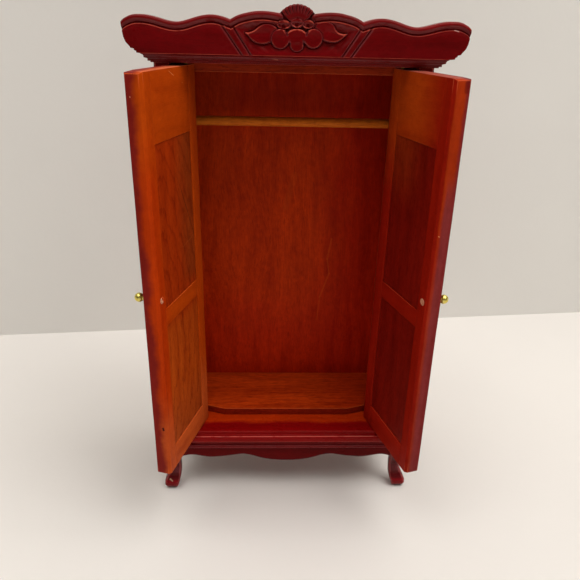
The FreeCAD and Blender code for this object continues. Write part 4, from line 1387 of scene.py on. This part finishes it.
def carve_shell(depth, x, z):
    """Shell fan, fluted only towards the rim."""
    angle = np.degrees(np.arctan2(x, z - SHELL_Z))
    radius = np.hypot(x, z - SHELL_Z)
    rib = 0.5 - 0.5 * np.cos((angle / 10.4) * 2 * math.pi)
    flutes = 0.38 * rib ** 3.2 * smoothstep(3.6, 5.2, radius)
    shell = (0.16 + flutes + 0.34 * smoothstep(5.72, 6.15, radius)
             - 0.12 * smoothstep(3.0, 5.2, radius) * (1 - rib))
    shell = shell + 0.80 * smoothstep(45.5, SHELL_HALF_ANGLE, np.abs(angle))
    outside = np.maximum(np.abs(angle) - SHELL_HALF_ANGLE, 0) * radius * math.pi / 180
    beside = bell(outside, 0.28) * (radius < 6.6) * (z > 161.5)
    inside = (np.abs(angle) < SHELL_HALF_ANGLE) & (radius > 0.4)
    return np.where(inside, shell, depth + 0.45 * beside)


def carve_leaves(depth, x, z):
    for side, outline, vein_z in ((-1, LEFT_LEAF, 159.3), (1, RIGHT_LEAF, 159.8)):
        distance = polygon_distance(x, z, closed_curve(outline, 5))
        depth = raise_shape(depth, distance, top=0.24, wall=0.66, ease=0.34, dish=0.06)
        vein = segment_distance(x, z, (side * 13.0, 159.2), (side * 8.4, vein_z))
        cut = 0.16 * bell(vein, 0.8) * smoothstep(0, 0.9, -distance)
        depth = np.where(distance < 0, depth + cut, depth)
    return depth


def carve_petals(depth, x, z):
    for centre_x, centre_z, half_x, half_z, top in HOODED_PETALS:
        distance = ellipse_distance(x, z, centre_x, centre_z, half_x, half_z)
        depth = raise_shape(depth, distance, top, wall=0.55, ease=0.26, dish=0.0)
        hollow = (smoothstep(0.10, 0.75, (centre_z + 0.50 * half_z - z) / half_z)
                  * smoothstep(0.12, 0.5, -distance))
        cut = 0.80 * hollow * (0.75 + 0.25 * np.cos((x - centre_x) * 4.2))
        depth = np.where(distance < 0, depth + cut, depth)
    # front petal: an arched head and a round lobe; the round side petals run into it
    left = ellipse_distance(x, z, -4.52, 157.92, 2.52, 2.56)
    right = ellipse_distance(x, z, 4.46, 158.20, 2.54, 2.50)
    head = ellipse_distance(x, z, -0.10, 158.55, 2.98, 2.08)
    lobe = ellipse_distance(x, z, 0.02, 156.45, 1.90, 1.72)
    bridge = np.maximum(np.abs(x) - 2.3, np.maximum(156.9 - z, z - 159.2))
    distance = np.minimum.reduce([head, lobe, left, right, bridge])
    depth = raise_shape(depth, distance, top=0.10, wall=0.72, ease=0.30, dish=0.10)
    # head and lobe are a little higher in their own middles
    swell = 0.07 * smoothstep(0.0, 1.4, -head) + 0.05 * smoothstep(0, 1.4, -lobe)
    depth = np.where(distance < 0, depth - swell, depth)
    for start, middle, end in PETAL_CUTS:
        gap = np.minimum(segment_distance(x, z, start, middle),
                         segment_distance(x, z, middle, end))
        fade = 1 - smoothstep(0.3, 2.1, np.hypot(x - start[0], z - start[1]))
        depth = np.where(distance < 0.1, depth + 0.50 * bell(gap, 0.17) * fade, depth)
    return depth


def relief(x, z):
    below = below_rim(x, z)
    depth = np.interp(below, RIM_BELOW, RIM_DEPTH)
    depth = carve_grooves(depth, x, z, below)
    depth = sink_ground(depth, x, z, below)
    depth = carve_shell(depth, x, z)
    depth = carve_leaves(depth, x, z)
    return np.clip(carve_petals(depth, x, z), 0.0, 1.95)


def box_blur(grid, reach, passes):
    """Running mean over both directions; each turn works on one and transposes."""
    width = 2 * reach + 1
    for _ in range(2 * passes):
        sums = np.cumsum(np.pad(grid, ((reach, reach), (0, 0)), mode="edge"), axis=0)
        sums = np.vstack([np.zeros(grid.shape[1]), sums])
        grid = ((sums[width:] - sums[:-width]) / width).T
    return grid


def pediment_shading_and_wear(x, z, depth):
    """Painted shade in the hollows, partly a dark glaze; worn stain with painted highlights on the edges; painted
    grey reflection on slopes of the carved face.
    """
    hollow = depth - box_blur(depth, reach=3, passes=2)
    carved = np.abs(x) < 46.5
    # painted shade in the hollows, partly a dark glaze
    cavity = np.clip(hollow / 0.42 - 0.30, 0, 0.8) * carved
    probe = 0.03
    grad_z = (relief(x, z + probe) - relief(x, z - probe)) / (2 * probe)
    grad_x = (relief(x + probe, z) - relief(x - probe, z)) / (2 * probe)
    steep = np.hypot(grad_x, grad_z)
    upward = np.clip(grad_z / (steep + 1e-6), 0, 1)
    below = below_rim(x, z)
    beside_shell = np.abs(x) > 5.2
    off_rim = np.where((below < 2.1) & beside_shell, 0.0, 1.0)

    # lighter edges: worn stain and painted highlights, stronger where an edge faces up to the light
    wear = np.clip(-hollow / 0.16 - 0.50, 0, 1) * carved * np.where(z > 162.9, 0.35, 1.0)
    wear = wear * np.where(steep > 0.3, 0.25 + 0.75 * upward, 0.8) * off_rim
    rim_line = (1.0 - 0.30 * smoothstep(16.0, 26.0, x)) * beside_shell * bell(below - 2.30, 0.12)
    wear = np.maximum(wear, rim_line)
    wear = np.maximum(wear, 0.95 * bell(z - CAP.z1, 0.13))
    wear = np.maximum(wear, 0.6 * bell(top_edge(x) - z, 0.14))

    # painted grey reflection on downward slopes, on a band of the rim and beside the grooves
    bloom = (np.clip((steep - 0.30) / 0.8, 0, 1) * (1 - upward)
             * np.clip(1 - hollow / 0.14, 0, 1) * carved)
    band = smoothstep(0.75, 1.15, below) * (1 - smoothstep(1.68, 1.84, below)) * beside_shell
    bloom = np.maximum(bloom * off_rim, 0.75 * band)
    for side in (-1, 1):
        for upper, lower in GROOVES:
            for offset, strength in ((0.34, 0.9), (-0.34, 0.5)):
                gap = segment_distance(x, z, (side * upper[0] + offset, upper[1] - 0.2),
                                       (side * lower[0] + offset, lower[1]))
                bloom = np.maximum(bloom, strength * (below > 2.2) * bell(gap, 0.14))
    return cavity, wear, bloom * (1 - 0.8 * cavity)


def pediment_grid():
    """x and z of the grid; columns are finer in the middle, rows near both edges."""
    columns = np.concatenate([np.linspace(-1.0, -0.46, 150)[:-1],
                              np.linspace(-0.46, 0.46, 330), np.linspace(0.46, 1.0, 150)[1:]])
    rows = np.unique(np.round(np.concatenate([
        np.linspace(0, 1, 84), 1 - np.linspace(0, 0.22, 36), np.linspace(0, 0.17, 26)]), 5))
    across, upward = np.meshgrid(columns, rows)
    z = 153.6 + upward * 9.0
    # the end outline and the top edge depend on each other
    for _ in range(12):
        x = across * np.interp(z, END_Z, END_X)
        z = CAP.z1 + upward * (top_edge(x) - CAP.z1)
    return across * np.interp(z, END_Z, END_X), z


def pediment_solid(x, z, depth):
    mesh = bmesh.new()
    spread_x = x + RIGHT_END * np.clip((x - 30.0) / 14.0, 0, 1)
    grid = [[add_vert(mesh, *point) for point in zip(*row)]
            for row in zip(spread_x, PEDIMENT.y0 + depth + SHIFT, z)]
    skin_rows(mesh, grid, closed=False)
    border = (grid[0] + [row[-1] for row in grid[1:]] + grid[-1][-2::-1]
              + [row[0] for row in grid[-2:0:-1]])

    def ring(y, inset):
        """The border moved back to y, drawn in along the top and at the ends."""
        verts = []
        for vert in border:
            at_x, at_z = vert.co.x / MM, vert.co.z / MM
            if at_z > 161.0:
                at_z -= inset
            if abs(at_x) > 42.3:
                at_x -= math.copysign(inset, at_x)
            verts.append(add_vert(mesh, at_x, y + SHIFT, at_z))
        return verts

    rings = [border, ring(PEDIMENT.y0 + 1.25, 0.0), ring(PEDIMENT.y1 - 0.35, 0.0),
             ring(PEDIMENT.y1 - 0.08, 0.10), ring(PEDIMENT.y1, 0.32)]
    skin_rows(mesh, rings)
    mesh.faces.new(rings[-1])
    recalc(mesh)
    return mesh


def pediment():
    x, z = pediment_grid()
    depth = relief(x, z)
    mesh = pediment_solid(x, z, depth)
    piece = new_object("pediment_carving", mesh, grain_along_x(mesh))
    for name, grid in zip(("cavity", "wear", "bloom"), pediment_shading_and_wear(x, z, depth)):
        values = np.zeros(len(piece.data.vertices))
        values[:grid.size] = grid.ravel()
        put_attribute(piece, name, values)
    finish_piece(piece, "pediment_board", "carve", 50)


pediment()


# ---------------------------------------------------------------------------
# Stage: pale floor, pale wall, soft light, camera
# ---------------------------------------------------------------------------
def plane(name, corners, material):
    mesh_data = bpy.data.meshes.new(name)
    mesh_data.from_pydata(corners, [], [(0, 1, 2, 3)])
    item = bpy.data.objects.new(name, mesh_data)
    bpy.context.scene.collection.objects.link(item)
    mesh_data.materials.append(material)


def stage_material(name, tone, roughness, one_sided=False):
    shader = Shader(bpy.data.materials.new(name))
    local = shader.node("TexCoord").outputs["Object"]
    patches = shader.fade(shader.noise(local, scale=6.0, detail=4.0), 0.35, 0.65)
    colour = shader.mix(patches, tone, tuple(c * 0.965 for c in tone))
    bump = shader.node("Bump", {"Height": shader.noise(local, scale=420.0, detail=3.0),
                                "Strength": 0.12, "Distance": 0.0003})
    surface = shader.node("BsdfPrincipled", {
        "Base Color": colour, "Roughness": roughness, "Specular IOR Level": 0.15,
        "Normal": bump.outputs[0]}).outputs[0]
    if one_sided:
        behind = shader.node("NewGeometry").outputs["Backfacing"]
        clear = shader.node("BsdfTransparent").outputs[0]
        surface = shader.node("MixShader", {0: behind, 1: surface, 2: clear}).outputs[0]
    return shader.finish(surface)


floor_material = stage_material("stage_floor", srgb(217, 212, 206), roughness=0.7)
wall_material = stage_material("stage_wall", srgb(232, 229, 223), roughness=0.9, one_sided=True)
STAGE_HALF = 3
WALL_Y = (133.6 + SHIFT) * MM
WALL_SLOPE = 0.096              # the wall runs at a slight angle to the wardrobe
WALL_LEFT_Y = WALL_Y - STAGE_HALF * WALL_SLOPE
WALL_RIGHT_Y = WALL_Y + STAGE_HALF * WALL_SLOPE
plane("stage_floor", [(x, y, 0) for x, y in rectangle(-STAGE_HALF, STAGE_HALF, -STAGE_HALF,
                                                      STAGE_HALF)], floor_material)
plane("stage_wall", [(-STAGE_HALF, WALL_LEFT_Y, -0.01), (STAGE_HALF, WALL_RIGHT_Y, -0.01),
                     (STAGE_HALF, WALL_RIGHT_Y, 3), (-STAGE_HALF, WALL_LEFT_Y, 3)],
      wall_material)


def area_light(name, location, target, size, power, colour, size_y=None):
    light = bpy.data.lights.new(name, "AREA")
    light.energy = power
    light.color = colour
    light.size = size
    if size_y:
        light.shape = "RECTANGLE"
        light.size_y = size_y
    lamp = bpy.data.objects.new(name, light)
    bpy.context.scene.collection.objects.link(lamp)
    lamp.location = location
    lamp.rotation_mode = "QUATERNION"
    lamp.rotation_quaternion = (Vector(target) - Vector(location)).to_track_quat("-Z", "Y")


area_light("key_window", location=(0.70, -0.50, 1.45), target=(0, 0.0, 0.08), size=0.8,
           power=11.4, colour=(1.0, 0.985, 0.965))
area_light("top_soft", location=(-0.25, -0.30, 1.5), target=(0, 0.0, 0.0), size=1.1,
           power=12.2, colour=(1.0, 0.985, 0.965))
area_light("strip", location=(0.05, 0.16, 1.2), target=(0, 0.0, 0.05), size=1.5, size_y=0.06,
           power=5.0, colour=(1.0, 0.98, 0.96))


def build_world():
    """Light that brightens towards a direction high above and slightly behind."""
    world = bpy.data.worlds.new("world")
    bpy.context.scene.world = world
    shader = Shader(world, "OutputWorld")
    direction = shader.node("TexCoord").outputs["Generated"]
    facing = shader.node("VectorMath", {0: direction, 1: (0.10, 0.30, 0.95)},
                         operation="DOT_PRODUCT").outputs["Value"]
    height = shader.node("MapRange", {0: facing, 1: -0.15, 2: 1.0}).outputs[0]
    colour = shader.ramp(height, [(0.0, (0.10, 0.095, 0.09)), (0.8, (0.95, 0.93, 0.90))])
    shader.finish(shader.node("Background", {0: colour, 1: 0.58}).outputs[0])


def build_camera():
    """Looks slightly down from the front, a touch left of centre."""
    yaw, pitch, roll = math.radians(2.42), math.radians(24.28), math.radians(1.41)
    level = Vector((math.sin(yaw), math.cos(yaw), 0))
    sideways = Vector((math.cos(yaw), -math.sin(yaw), 0))
    forward = level * math.cos(pitch) - UP * math.sin(pitch)
    down = -(level * math.sin(pitch) + UP * math.cos(pitch))
    rolled_side = sideways * math.cos(roll) - down * math.sin(roll)
    rolled_down = sideways * math.sin(roll) + down * math.cos(roll)
    lens = bpy.data.cameras.new("camera")
    lens.sensor_width = 36.0
    lens.lens = 37.2457241
    lens.clip_start = 0.01
    camera = bpy.data.objects.new("camera", lens)
    bpy.context.scene.collection.objects.link(camera)
    camera.matrix_world = axes_matrix(toe_point(-7.64, -178.45, 162.87), rolled_side,
                                      -rolled_down, -forward)
    bpy.context.scene.camera = camera


build_world()
build_camera()
bpy.context.scene.view_settings.view_transform = "Standard"
